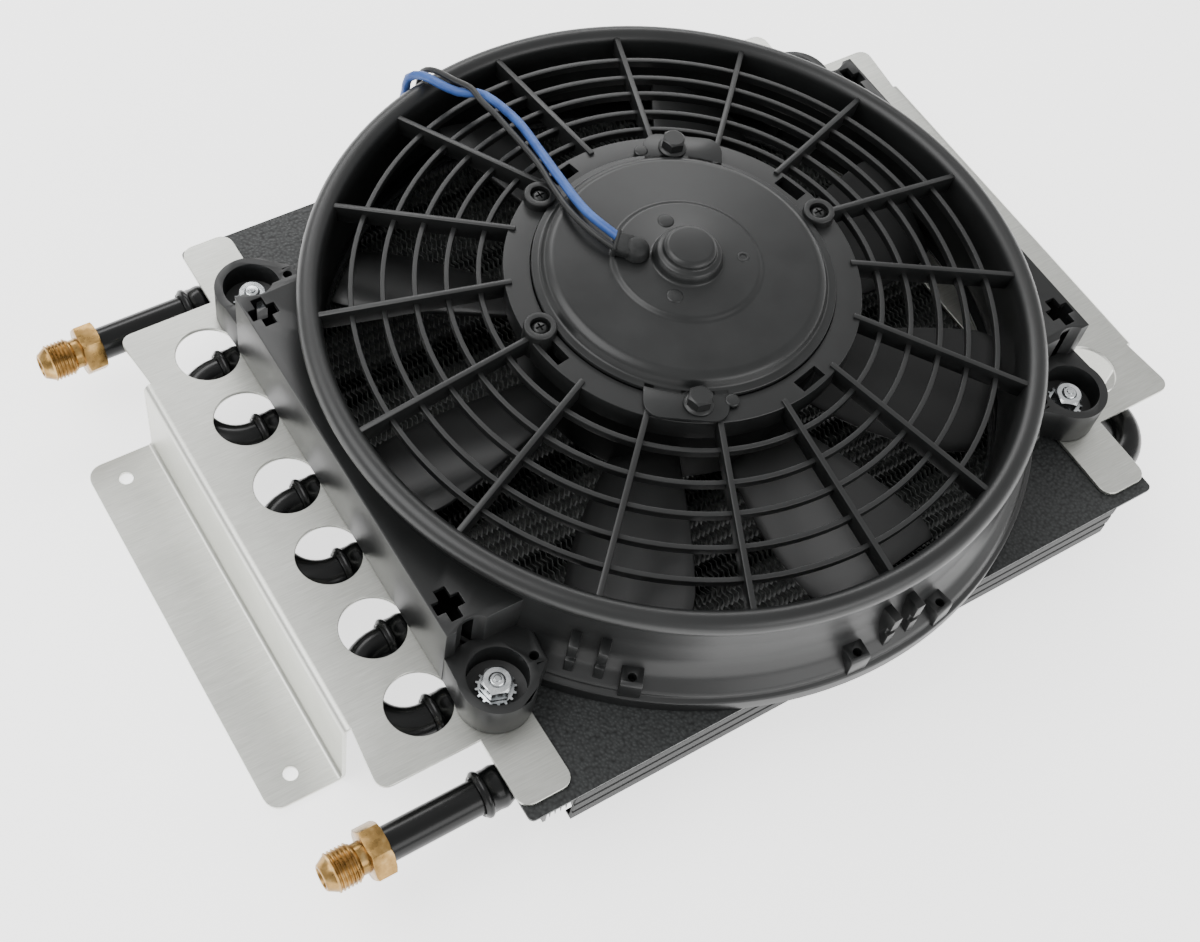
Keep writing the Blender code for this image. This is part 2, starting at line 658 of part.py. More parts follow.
def build_shroud():
    drum = turned("fan_shroud", drum_section(), 40, "black_plastic", closed=True)
    trims = []
    for side in (-1, 1):
        xs = sorted((side * (FLANGE_INNER_X - GAP), side * 0.2))
        trims.append(box("drum_trim", (xs[0], -0.2, 0), (xs[1], 0.2, DRUM_SEAT)))
        inside = BLOCK_HALF_Y - BLOCK_WALL
        trims.append(box("drum_floor_trim", (xs[0], -inside, 0), (xs[1], inside, DRUM_FLOOR_TOP + 0.5 * MM)))
        xs = sorted((side * (BLOCK_X - 0.1 * MM), side * 0.2))
        trims.append(box("drum_side_trim", (xs[0], -0.2, 0), (xs[1], 0.2, DECK_Z)))
    drum = solid(cut(drum, trims), smooth=True)
    pieces = [build_block(-1), build_block(1)]
    pieces += [build_foot(x, y) for x, y in MOUNT_POINTS]
    for angle in CLIP_ANGLES:
        pieces += build_clip(angle)
    pieces += [build_lug(angle) for angle in LUG_ANGLES]
    join(drum, pieces)
    cut(drum, shroud_openings())
    solid(drum, weld=0.05 * MM)


def build_grille():
    """Finger guard: a hub ring for the motor, ribs out to the shroud's lip and rings across the ribs."""
    low, high = HUB_RING_Z
    section = [(HUB_RING_BORE, high), (HUB_RING_RADIUS, high), (HUB_RING_RADIUS, low), (HUB_RING_BORE, low)]
    hub = turned("fan_grille", section, 24, "black_plastic", closed=True)
    join(hub, [build_rib(i) for i in range(RIB_COUNT)])
    join(hub, [grille_ring(radius, drop) for radius, drop in zip(GRILLE_RADII, GRILLE_DROPS)])
    reach = (low - MM, high + MM)
    bores = [cylinder("bolt_bore", polar(BOLT_CIRCLE, angle), 2.8 * MM, reach, 12) for angle in BOLT_ANGLES]
    bores += [cylinder("screw_bore", polar(SCREW_CIRCLE, angle), 1.9 * MM, reach, 10) for angle in SCREW_ANGLES]
    cut(hub, bores)
    solid(hub, weld=0.05 * MM)


# ---------------------------------------------------------------- fixings
def hexagon(name, centre, across_flats, z_range, finish, bore=None):
    radius = across_flats / 2 / math.cos(math.pi / 6)
    made = cylinder(name, centre, radius, z_range, 6, finish)
    if bore:
        cut(made, [cylinder(name + "_bore", centre, bore, (z_range[0] - MM, z_range[1] + MM), 12)])
    return made


def build_mount_fixings():
    """A welded stud, a toothed washer and a nut hold the fan and the bracket at each corner."""
    names = ("near_left", "far_left", "near_right", "far_right")
    head = (FIN_TOP + GAP, FACE_TOP - FACE_THICKNESS - GAP)
    for label, (x, y) in zip(names, MOUNT_POINTS):
        stud = cylinder(f"mount_stud_{label}", (x, y), 6 * MM, head, 16, "zinc")
        join(stud, [cylinder("stud_shank", (x, y), STUD_RADIUS, (head[0] + 0.2 * MM, STUD_TOP), 16)])
        build_star_washer(f"lock_washer_{label}", x, y)
        hexagon(f"mount_nut_{label}", (x, y), NUT_ACROSS_FLATS, (47.4 * MM, 52.6 * MM), "zinc", CLEARANCE_RADIUS)


def build_star_washer(name, x, y):
    teeth = []
    for index in range(20):
        radius = (7.2 if index % 2 else 6.0) * MM
        teeth.append(polar(radius, index * 18))
    washer = plate(name, [teeth, circle((0, 0), CLEARANCE_RADIUS, 12)], (46.1 * MM, 47.1 * MM), "zinc")
    washer.location.x = x
    washer.location.y = y


def build_cover_fixings():
    top = COVER_Z + 1.5 * MM + GAP
    for number, angle in enumerate(BOLT_ANGLES, 1):
        spot = polar(BOLT_CIRCLE, angle)
        bolt = cylinder(f"flange_bolt_{number}", spot, 5.4 * MM, (top, top + 1.2 * MM), 16, "dark_steel")
        head = hexagon("bolt_head", spot, 8 * MM, (top + 1 * MM, top + 5.2 * MM), None)
        join(bolt, [head, cylinder("bolt_shank", spot, 2.5 * MM, (87 * MM, top + 0.5 * MM), 12)])
    for number, angle in enumerate(SCREW_ANGLES, 1):
        spot = polar(SCREW_CIRCLE, angle)
        screw = cylinder(f"ear_screw_{number}", spot, 3 * MM, (top, top + 1.8 * MM), 16, "dark_steel")
        join(screw, [cylinder("screw_shank", spot, 1.6 * MM, (88 * MM, top + 0.5 * MM), 10)])


# ---------------------------------------------------------------- motor and rotor
def build_cover():
    """Pressed steel motor cover: rim, raised step, central disc and bearing boss."""
    profile = [(0, 111.3), (9, 111.3), (9.6, 108.4), (12.2, 108.0), (12.6, 103.3), (27.2, 103.3), (27.8, 101.9),
               (50.5, 101.8), (52.8, 97.0), (63, 97.0), (63, 95.5), (51.6, 95.5), (49.6, 100.3), (10.4, 100.3),
               (10.2, 107.2), (0, 107.2)]
    cover = turned("motor_cover", [(r * MM, z * MM) for r, z in profile], 32, "dark_steel")
    bolts = [cylinder("cover_bolt", polar(BOLT_CIRCLE, a), 2.8 * MM, (0.09, 0.1), 12) for a in BOLT_ANGLES]
    screws = [cylinder("cover_screw", polar(SCREW_CIRCLE, a), 1.9 * MM, (0.09, 0.1), 10) for a in SCREW_ANGLES]
    cut(cover, bolts + screws)


def build_can():
    """Motor can: an open cup with a bearing pocket in its floor."""
    profile = [(50, 95.2), (50, 62.8), (13, 62.8), (13, 59.6), (4.6, 59.6), (4.6, 60.8), (11.3, 60.8), (11.3, 66.6),
               (12.8, 66.6), (12.8, 64.2), (48.6, 64.2), (48.6, 95.2)]
    turned("motor_can", [(r * MM, z * MM) for r, z in profile], 24, "dark_steel", closed=True)


def ring(name, inner, outer, z_range, steps, finish):
    low, high = z_range
    return turned(name, [(inner * MM, high * MM), (outer * MM, high * MM), (outer * MM, low * MM),
                         (inner * MM, low * MM)], steps, finish, closed=True)


def build_motor_insides():
    ring("magnet_ring", 42.5, 48.2, (68, 90), 20, "ferrite")
    ring("armature", 4.3, 41.2, (69, 89), 20, "copper")
    ring("bearing_upper", 4.3, 9.8, (100.8, 106.8), 16, "steel")
    ring("bearing_lower", 4.3, 11.0, (61.2, 66.2), 16, "steel")
    cylinder("motor_shaft", (0, 0), SHAFT_RADIUS, (50.2 * MM, 106.6 * MM), 16, "steel")


def build_grommet():
    x, y = GROMMET_AT
    low, high = GROMMET_Z
    cylinder("wire_grommet", (x, y), 5.2 * MM, (low, high), 20, "rubber")


def build_blade(index):
    """One broad flat blade, tilted about its radial line."""
    inner, outer = BLADE_RADII
    low, high = BLADE_Z
    root, tip = BLADE_HALF_WIDTHS
    tilt = (high - low) / (2 * tip)
    bm = bmesh.new()
    corners = ((inner, -root), (outer, -tip), (outer, tip), (inner, root))
    bm.faces.new([bm.verts.new((r, w, w * tilt)) for r, w in corners])
    name = f"blade_{index}"
    blade = add_object(name, mesh_from(bm, name))
    thicken = blade.modifiers.new("Solidify", "SOLIDIFY")
    thicken.thickness = 2 * MM
    thicken.offset = 0
    blade = solid(blade)
    blade.rotation_euler.z = BLADE_PHASE + TAU * index / BLADE_COUNT
    blade.location.z = (low + high) / 2
    return blade


def build_rotor():
    """Fan rotor: a cup around the motor can, a boss on the shaft end and the blades."""
    profile = [(53.4, 74), (57, 74), (57, 47), (53, 44.5), (5, 44.5), (5, 46), (4.3, 46), (4.3, 56), (9, 56), (9, 48),
               (52, 48), (53.4, 50)]
    rotor = turned("fan_rotor", [(r * MM, z * MM) for r, z in profile], 30, "black_plastic", closed=True)
    join(rotor, [build_blade(i) for i in range(BLADE_COUNT)])


def build_wires():
    blue = smooth_route(BLUE_ROUTE, 5 * BLUE_RADIUS)
    black = smooth_route(BLACK_ROUTE, 6 * BLACK_RADIUS)
    tube_curve("wire_blue", blue, BLUE_RADIUS, 2, "blue_wire")
    tube_curve("wire_black", black, BLACK_RADIUS, 2, "black_wire")


build_hairpins()
build_return_bends()
build_ports()
build_fin_pack()
build_headers()
build_channels()
build_face_plate()
build_brackets()
build_shroud()
build_grille()
build_mount_fixings()
build_cover_fixings()
build_cover()
build_can()
build_motor_insides()
build_grommet()
build_rotor()
build_wires()
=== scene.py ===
# %% [markdown]
# # Hydraulic oil cooler with its fan
#
# The object is an eight-pass tube-and-fin oil cooler.  Two folded aluminium brackets carry it, and a
# 10 inch electric fan sits on its face.  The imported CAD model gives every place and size; this script
# gives each piece the shape, edges and surface of the real one.

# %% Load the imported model
import json
import math

import bmesh
import bpy
from mathutils import Matrix, Vector


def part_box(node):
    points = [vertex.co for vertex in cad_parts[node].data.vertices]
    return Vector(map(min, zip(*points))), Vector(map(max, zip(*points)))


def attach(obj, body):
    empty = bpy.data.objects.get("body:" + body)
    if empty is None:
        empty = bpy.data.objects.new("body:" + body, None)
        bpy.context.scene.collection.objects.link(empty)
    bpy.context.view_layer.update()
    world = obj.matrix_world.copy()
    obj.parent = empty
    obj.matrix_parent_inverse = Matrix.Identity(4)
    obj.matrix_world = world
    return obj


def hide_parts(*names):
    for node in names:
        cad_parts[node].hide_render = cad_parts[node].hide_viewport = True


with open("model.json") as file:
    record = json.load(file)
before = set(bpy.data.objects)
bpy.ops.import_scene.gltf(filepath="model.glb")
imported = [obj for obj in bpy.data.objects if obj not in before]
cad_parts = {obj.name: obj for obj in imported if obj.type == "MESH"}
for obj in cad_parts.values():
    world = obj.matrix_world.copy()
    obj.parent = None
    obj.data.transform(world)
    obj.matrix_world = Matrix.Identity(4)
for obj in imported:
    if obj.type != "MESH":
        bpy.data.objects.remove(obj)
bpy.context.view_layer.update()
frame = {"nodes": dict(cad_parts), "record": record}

MM = 0.001
TAU = 2 * math.pi


# %% [markdown]
# ## The camera
#
# The picture looks down on the cooler's port side from the left.  A product camera on a stand is
# described by where it stands, how far it turns and tips, and how far it rolls.  Building its axes
# from those three angles keeps each of them readable, which a single rotation triple would not.

# %% Place the camera
CAMERA_PLACE = Vector((-0.29730, -0.29629, 0.59095))
CAMERA_AZIMUTH = math.radians(-40.52)
CAMERA_ELEVATION = math.radians(56.64)
CAMERA_ROLL = math.radians(10.98)
CAMERA_LENS = 53.49


def camera_axes(azimuth, elevation, roll):
    """Right, up and backward directions of a camera that looks at the object."""
    back = Vector((math.sin(azimuth) * math.cos(elevation), -math.cos(azimuth) * math.cos(elevation),
                   math.sin(elevation)))
    right = Vector((math.cos(azimuth), math.sin(azimuth), 0))
    up = back.cross(right)
    turned_right = math.cos(roll) * right + math.sin(roll) * up
    turned_up = -math.sin(roll) * right + math.cos(roll) * up
    return turned_right, turned_up, back


bpy.ops.object.select_all(action="DESELECT")
bpy.ops.object.camera_add()
camera = bpy.context.object
camera.name = "product_camera"
axes = Matrix(camera_axes(CAMERA_AZIMUTH, CAMERA_ELEVATION, CAMERA_ROLL)).transposed()
camera.matrix_world = Matrix.Translation(CAMERA_PLACE) @ axes.to_4x4()
camera.data.sensor_fit = "HORIZONTAL"
camera.data.sensor_width = 36
camera.data.lens = CAMERA_LENS
camera.data.shift_x = 0.0398
camera.data.shift_y = -0.0060
camera.data.clip_start = 0.01
bpy.context.scene.camera = camera
print("camera at", tuple(round(v, 3) for v in camera.location))


# %% [markdown]
# ## Floor and light
#
# The floor is a wide white plane whose material glows a little, painted light that brightens it so
# that the cooler's shadow almost disappears.  Light comes from a pale world, one large soft box
# high at the left, and a
# strip at the back that draws the long highlights on the black plastic.

# %% Make the floor, world and lamps
def look_at(place, target):
    """A rotation that points a lamp's -Z from place to target."""
    return (Vector(target) - Vector(place)).to_track_quat("-Z", "Y").to_euler()


def soft_box(name, place, target, size, power):
    bpy.ops.object.select_all(action="DESELECT")
    bpy.ops.object.light_add(type="AREA", location=place, rotation=look_at(place, target))
    lamp = bpy.context.object
    lamp.name = name
    lamp.data.shape = "RECTANGLE"
    lamp.data.size, lamp.data.size_y = size
    lamp.data.energy = power
    return lamp


FAN_CENTRE = (0, 0, 0.06)
soft_box("key_soft_box", (-0.75, 0.35, 1.15), FAN_CENTRE, (1.1, 0.9), 13)
soft_box("back_strip", (0.35, 1.05, 0.85), FAN_CENTRE, (1.3, 0.35), 9)
soft_box("near_fill", (0.25, -1.05, 0.55), FAN_CENTRE, (0.9, 0.5), 5)

bpy.ops.object.select_all(action="DESELECT")
bpy.ops.mesh.primitive_plane_add(size=60, location=(0, 0, -0.0005))
floor = bpy.context.object
floor.name = "studio_floor"
world = bpy.data.worlds.new("pale_studio")
world.use_nodes = True
background = world.node_tree.nodes["Background"]
background.inputs["Color"].default_value = (1, 1, 1, 1)
background.inputs["Strength"].default_value = 0.85
bpy.context.scene.world = world


# %% [markdown]
# ## Colours and nodes
#
# A colour is easiest to read as the hex code of a swatch, but a shader wants linear light, so one
# function turns the one into the other.  Another small function adds a node, sets it and links it,
# which keeps each material to a few lines that can be read from the surface down.

# %% Colour and node helpers
def linear(code):
    """Linear RGBA of an sRGB hex code."""
    parts = [int(code[i:i + 2], 16) / 255 for i in (1, 3, 5)]
    return (*[p / 12.92 if p <= 0.04045 else ((p + 0.055) / 1.055) ** 2.4 for p in parts], 1)


def add_node(tree, kind, values=None, links=None, **settings):
    """Add a node, set its properties and input values, and link other nodes' outputs to its inputs."""
    made = tree.nodes.new(kind)
    for key, value in settings.items():
        setattr(made, key, value)
    for key, value in (values or {}).items():
        made.inputs[key].default_value = value
    for key, source in (links or {}).items():
        tree.links.new(source, made.inputs[key])
    return made


def new_material(name, roughness, metallic=0.0, **sockets):
    """An empty material with its shader's constants set; returns the material, its tree and its shader."""
    made = bpy.data.materials.new(name)
    made.use_nodes = True
    shader = made.node_tree.nodes["Principled BSDF"]
    shader.inputs["Roughness"].default_value = roughness
    shader.inputs["Metallic"].default_value = metallic
    for key, value in sockets.items():
        shader.inputs[key.replace("_", " ")].default_value = value
    return made, made.node_tree, shader


def ramp(tree, factor, stops):
    """A colour ramp over a factor; stops are (position, hex code) pairs."""
    made = add_node(tree, "ShaderNodeValToRGB", links={"Fac": factor})
    elements = made.color_ramp.elements
    while len(elements) < len(stops):
        elements.new(0.5)
    for element, (position, code) in zip(elements, stops):
        element.position = position
        element.color = linear(code)
    return made.outputs["Color"]


def spread(tree, factor, low, high):
    """Map a 0 to 1 factor to a range of values."""
    made = add_node(tree, "ShaderNodeMapRange", {"To Min": low, "To Max": high}, {"Value": factor})
    return made.outputs["Result"]


def place_on(tree, scale=(1, 1, 1)):
    """Object coordinates, in metres, stretched by scale."""
    coordinates = add_node(tree, "ShaderNodeTexCoord")
    mapped = add_node(tree, "ShaderNodeMapping", {"Scale": scale},
                      {"Vector": coordinates.outputs["Object"]})
    return mapped.outputs["Vector"]


def noise(tree, vector, size_mm, detail=3.0, rough=0.55):
    """Noise whose lumps are about size_mm across."""
    values = {"Scale": 1 / (size_mm * MM), "Detail": detail, "Roughness": rough}
    made = add_node(tree, "ShaderNodeTexNoise", values, {"Vector": vector})
    return made.outputs["Fac"]


def bump(tree, shader, height, depth_mm, strength):
    """Raise the surface by height times depth_mm."""
    made = add_node(tree, "ShaderNodeBump", {"Distance": depth_mm * MM, "Strength": strength},
                    {"Height": height})
    tree.links.new(made.outputs["Normal"], shader.inputs["Normal"])


print("black sRGB #222322 is", tuple(round(v, 4) for v in linear("#222322")))


# %% [markdown]
# ## Glass-filled nylon, moulded
#
# Shroud, grille and rotor are injection-moulded in black glass-filled nylon.  The mould gives a fine
# satin grain; fibres near the skin and the flow of the melt make it patchy, so the gloss varies over
# a few centimetres.  A fine noise drives the bump and a broad one drives colour and roughness.

# %% Nylon
def moulded_nylon(name, dark, light, roughness, grain_mm=0.5):
    made, tree, shader = new_material(name, roughness)
    where = place_on(tree)
    patches = noise(tree, where, 35, 4)
    grain = noise(tree, where, grain_mm, 2)
    tree.links.new(ramp(tree, patches, ((0.3, dark), (0.7, light))), shader.inputs["Base Color"])
    tree.links.new(spread(tree, patches, roughness - 0.05, roughness + 0.07), shader.inputs["Roughness"])
    bump(tree, shader, grain, 0.03, 0.5)
    return made


nylon = moulded_nylon("glass_filled_nylon_moulded", "#111212", "#1a1b1b", 0.38)
blade_nylon = moulded_nylon("glass_filled_nylon_rotor", "#0b0c0c", "#131414", 0.42, 0.8)
print("nylon materials:", nylon.name, blade_nylon.name)

# %% [markdown]
# ## Brushed aluminium sheet
#
# The brackets are cut and folded from 1.6 mm aluminium that was brushed on a belt.  The belt leaves
# fine parallel scratches, each a few centimetres long and a few hundredths wide.  They are drawn
# about 0.35 mm wide here, since finer ones would not show.  Scratches are noise stretched along the
# belt's direction; they move the colour, the roughness and the bump together.

# %% Aluminium
def brushed_aluminium():
    made, tree, shader = new_material("brushed_aluminium_sheet", 0.36, 1.0)
    belt = place_on(tree, (0.035, 1, 1))
    scratches = noise(tree, belt, 0.35, 5, 0.7)
    cloudy = noise(tree, place_on(tree), 28, 3)
    mixed = add_node(tree, "ShaderNodeMix", {"Factor": 0.28}, {"A": scratches, "B": cloudy})
    greys = ramp(tree, mixed.outputs["Result"], ((0.3, "#b9bab4"), (0.55, "#cfd0ca"), (0.72, "#dedfda")))
    tree.links.new(greys, shader.inputs["Base Color"])
    tree.links.new(spread(tree, scratches, 0.30, 0.46), shader.inputs["Roughness"])
    bump(tree, shader, scratches, 0.012, 0.35)
    return made


aluminium = brushed_aluminium()

# %% [markdown]
# ## Black coatings on steel and aluminium
#
# Three black coatings meet on this object.  The face plate has a wrinkle powder coat that cures to
# millimetre pebbles, coloured lighter on their tops and darker in the hollows between them as painted
# shade.  The tubes, headers and channels have a thin gloss dip.  The stamped motor
# cover has a satin stoving enamel, slightly cloudy where it pooled.

# %% Powder coat, dip coat and enamel
PEBBLE = 1.1


def pebbled_powder_coat():
    made, tree, shader = new_material("wrinkle_powder_coat", 0.5, Specular_IOR_Level=0.4)
    where = place_on(tree)
    cells = add_node(tree, "ShaderNodeTexVoronoi", {"Scale": 1 / (PEBBLE * MM), "Randomness": 1.0},
                     {"Vector": where}, feature="SMOOTH_F1")
    pebbles = cells.outputs["Distance"]
    # Painted shade: the colour is lighter on the pebble tops and darker in the hollows between them.
    tree.links.new(ramp(tree, pebbles, ((0.15, "#333535"), (0.75, "#131414"))), shader.inputs["Base Color"])
    tree.links.new(spread(tree, pebbles, 0.38, 0.6), shader.inputs["Roughness"])
    inverted = add_node(tree, "ShaderNodeMath", {0: 1.0}, {1: pebbles}, operation="SUBTRACT")
    bump(tree, shader, inverted.outputs["Value"], 0.22, 0.8)
    return made


def dip_coat(name, dark, light, roughness, lay=(1, 1, 1), scale_mm=6.0, shine=0.3):
    """Thin gloss coat; lay stretches its runs and drawing marks along the piece."""
    made, tree, shader = new_material(name, roughness, Specular_IOR_Level=shine)
    runs = noise(tree, place_on(tree, lay), scale_mm, 4)
    tree.links.new(ramp(tree, runs, ((0.32, dark), (0.68, light))), shader.inputs["Base Color"])
    tree.links.new(spread(tree, runs, roughness - 0.06, roughness + 0.08), shader.inputs["Roughness"])
    bump(tree, shader, runs, 0.03, 0.4)
    return made


def stoving_enamel():
    made, tree, shader = new_material("satin_stoving_enamel", 0.33, Specular_IOR_Level=0.4)
    where = place_on(tree)
    patches = noise(tree, where, 18, 4)
    coat = ramp(tree, patches, ((0.3, "#161717"), (0.7, "#202121")))
    tree.links.new(coat, shader.inputs["Base Color"])
    tree.links.new(spread(tree, patches, 0.28, 0.4), shader.inputs["Roughness"])
    bump(tree, shader, noise(tree, where, 1.6, 3), 0.025, 0.5)
    return made


powder_coat = pebbled_powder_coat()
tube_coat = dip_coat("black_dip_coat_tube", "#050606", "#0c0d0d", 0.24, (0.15, 1, 1), 3.0)
channel_coat = dip_coat("black_dip_coat_channel", "#0d0e0e", "#1c1d1d", 0.42, (0.02, 1, 1), 0.9, shine=0.12)
enamel = stoving_enamel()

# %% [markdown]
# ## Fins
#
# The fins are aluminium foil 0.15 mm thick, dipped black with the core.  The coat is thin, so bare
# metal glints at the cut edges; a metallic dark grey with rough patches gives those glints.

# %% Fin foil
def fin_foil():
    made, tree, shader = new_material("coated_aluminium_foil", 0.42, 0.4)
    thin_coat = noise(tree, place_on(tree), 2.2, 4)
    tree.links.new(ramp(tree, thin_coat, ((0.35, "#2c2e2d"), (0.58, "#565957"), (0.75, "#8a8c88"))),
                   shader.inputs["Base Color"])
    tree.links.new(spread(tree, thin_coat, 0.3, 0.5), shader.inputs["Roughness"])
    return made


fin_metal = fin_foil()

# %% [markdown]
# ## Brass, zinc and ground steel
#
# The flare fittings are turned from brass bar: fine rings from the tool, and a brown tarnish in the
# hollows.  Nuts, washers and studs are bright zinc plate, almost mirror-like but mottled.  The shaft
# and the bearings inside are ground steel.

# %% Turned and plated metals
def turned_metal(name, stops, roughness, mottle_mm, ring_mm=None):
    """Metal with mottled colour and, where ring_mm is given, tool rings about the X axis."""
    made, tree, shader = new_material(name, roughness, 1.0)
    where = place_on(tree)
    mottle = noise(tree, where, mottle_mm, 4)
    tree.links.new(ramp(tree, mottle, stops), shader.inputs["Base Color"])
    tree.links.new(spread(tree, mottle, roughness - 0.07, roughness + 0.1), shader.inputs["Roughness"])
    if ring_mm:
        marks = noise(tree, place_on(tree, (1, 0.02, 0.02)), ring_mm, 2)
    else:
        marks = noise(tree, where, 0.6, 2)
    bump(tree, shader, marks, 0.012, 0.4)
    return made


brass = turned_metal("turned_brass", ((0.3, "#7d6238"), (0.55, "#a5834f"), (0.75, "#c4a672")), 0.27, 4, 0.3)
zinc = turned_metal("bright_zinc_plate", ((0.3, "#b4b8ba"), (0.6, "#dde0e2"), (0.8, "#f6f7f8")), 0.2, 3)
ground_steel = turned_metal("ground_steel", ((0.3, "#7f8183"), (0.7, "#a9abad")), 0.28, 5)
copper = turned_metal("enamelled_copper_wire", ((0.3, "#7d4424"), (0.7, "#b06a3c")), 0.4, 2)

# %% [markdown]
# ## Rubber, ferrite and wire insulation
#
# The grommet is soft moulded rubber, dull and slightly grey with bloom.  The magnets are sintered
# ferrite, like dark unglazed clay.  The wires are PVC insulation, drawn smooth, so they keep a long
# soft highlight; the die leaves very faint lines along them.

# %% Rubber, ferrite and PVC
rubber = dip_coat("moulded_rubber", "#161717", "#212222", 0.55, (1, 1, 1), 2.0)
ferrite = dip_coat("sintered_ferrite", "#2a2a2c", "#3a3a3c", 0.75, (1, 1, 1), 1.0)
blue_pvc = dip_coat("blue_pvc_insulation", "#2f4d8c", "#4466a8", 0.36, (1, 1, 1), 9.0)
black_pvc = dip_coat("black_pvc_insulation", "#1b1c1c", "#292a2a", 0.38, (1, 1, 1), 9.0)

SLOT_FINISH = {
    "black_plastic": nylon, "black_paint": tube_coat, "dark_steel": enamel, "fin_black": fin_metal,
    "aluminium": aluminium, "zinc": zinc, "steel": ground_steel, "brass": brass, "ferrite": ferrite,
    "copper": copper, "rubber": rubber, "blue_wire": blue_pvc, "black_wire": black_pvc,
}


# The floor's emission is painted light: it makes the floor glow though it is no lamp, lifting its brightness
# and filling the cooler's shadow.
FLOOR_PAINTED_GLOW = 1.8


def floor_with_painted_glow():
    made, tree, shader = new_material("white_floor_painted_glow", 0.9)
    shader.inputs["Emission Color"].default_value = (1, 1, 1, 1)
    shader.inputs["Emission Strength"].default_value = FLOOR_PAINTED_GLOW
    cloud = noise(tree, place_on(tree), 40, 2)
    tree.links.new(ramp(tree, cloud, ((0.0, "#f6f6f5"), (1.0, "#fafaf9"))), shader.inputs["Base Color"])
    return made


floor.data.materials.append(floor_with_painted_glow())
print("materials:", len(bpy.data.materials))


# %% [markdown]
# ## The two wires
#
# The motor's leads come out of a rubber grommet, cross the grille, and drop behind the shroud to the
# floor.  They are stranded copper in PVC, 3.5 mm and 2.4 mm over the insulation, with bare cut ends.
# Each is one smooth line through points that a hand would guide it by, swept with a round section,
# which is how a real lead is made.

# %% Route and sweep the wires
BLUE_RADIUS = 1.75 * MM
BLACK_RADIUS = 1.2 * MM
BLUE_ROUTE = [
    (-18.6, 17.0, 106.0), (-22.4, 33.6, 105.3), (-21.3, 53.4, 102.8), (-19.0, 70.4, 99.3),
    (-17.4, 90.3, 96.3), (-20.0, 109.2, 92.8), (-26.9, 115.6, 91.3), (-30.6, 123.4, 89.8),
    (-33.4, 132.9, 87.4), (-36.5, 138.4, 82.6), (-37.2, 139.4, 74.0), (-38.0, 142.5, 60.0),
    (-39.5, 150.0, 46.0), (-40.0, 153.5, 30.0), (-37.0, 156.0, 14.0),
    (-28.0, 158.0, 4.4), (-14.0, 158.0, 1.9), (10.0, 155.0, 1.9), (45.0, 151.5, 1.9), (80.0, 153.0, 1.9),
    (108.0, 160.0, 1.9),
]
BLACK_ROUTE = [
    (-21.6, 12.8, 105.2), (-25.9, 25.0, 105.6), (-27.2, 36.6, 104.6), (-25.6, 50.6, 102.2),
    (-22.9, 66.6, 99.3), (-22.9, 92.1, 96.6), (-24.2, 104.2, 96.0), (-24.2, 112.4, 95.4),
    (-26.3, 121.0, 92.6), (-28.6, 132.0, 88.8), (-30.6, 138.0, 83.6), (-31.5, 139.4, 74.0),
    (-32.0, 142.6, 60.0), (-33.5, 150.4, 46.0), (-33.0, 155.0, 30.0),
    (-29.0, 160.5, 14.0), (-20.0, 166.0, 4.0), (-6.0, 168.0, 1.4), (20.0, 166.0, 1.4), (55.0, 161.0, 1.4),
    (90.0, 164.0, 1.4), (112.0, 172.0, 1.4),
]


def smooth_route(route, spacing):
    """Evenly spaced points on a Catmull-Rom curve through a route given in millimetres."""
    knots = [Vector(p) * MM for p in route]
    knots = [2 * knots[0] - knots[1], *knots, 2 * knots[-1] - knots[-2]]
    dense = []
    for a, b, c, d in zip(knots, knots[1:], knots[2:], knots[3:]):
        for k in range(20):
            t = k / 20
            dense.append(0.5 * (2 * b + (c - a) * t + (2 * a - 5 * b + 4 * c - d) * t ** 2
                                + (3 * b - a - 3 * c + d) * t ** 3))
    dense.append(knots[-2])
    points = [dense[0]]
    for point in dense:
        if (point - points[-1]).length >= spacing:
            points.append(point)
    return points


def sweep_wire(name, route, radius, finish, node):
    points = smooth_route(route, 2.0 * radius)
    line = bpy.data.curves.new(name, "CURVE")
    line.dimensions = "3D"
    line.bevel_depth = radius
    line.bevel_resolution = 5
    line.use_fill_caps = True
    spline = line.splines.new("POLY")
    spline.points.add(len(points) - 1)
    for knot, point in zip(spline.points, points):
        knot.co = (*point, 1)
    wire = bpy.data.objects.new(name, line)
    bpy.context.scene.collection.objects.link(wire)
    line.materials.append(finish)
    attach(wire, "cooler")
    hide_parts(node)
    return wire


sweep_wire("lead_blue", BLUE_ROUTE, BLUE_RADIUS, blue_pvc, "wire_blue")
sweep_wire("lead_black", BLACK_ROUTE, BLACK_RADIUS, black_pvc, "wire_black")


# %% [markdown]
# ## Modelling helpers
#
# The rest is modelled as by hand: a primitive is added, shaped in edit mode, and finished with
# applied modifiers.  Operators act on whatever is selected, so each helper first clears the
# selection.  A finished piece keeps its place in its mesh, with its object at the origin.

# %% Start, edit, choose and apply
def only(obj):
    bpy.ops.object.select_all(action="DESELECT")
    obj.select_set(True)
    bpy.context.view_layer.objects.active = obj


def settle(obj):
    """Put the object's place, turn and size into its mesh."""
    only(obj)
    bpy.ops.object.transform_apply(location=True, rotation=True, scale=True)
    return obj


def start(name, primitive, size_xyz=(1, 1, 1), **settings):
    """Add one primitive with nothing else selected, stretched by size_xyz in its own axes."""
    bpy.ops.object.select_all(action="DESELECT")
    primitive(**settings)
    made = bpy.context.object
    made.name = name
    made.scale = size_xyz
    return settle(made)


def edit(obj):
    only(obj)
    bpy.ops.object.mode_set(mode="EDIT")


def done():
    bpy.ops.object.mode_set(mode="OBJECT")


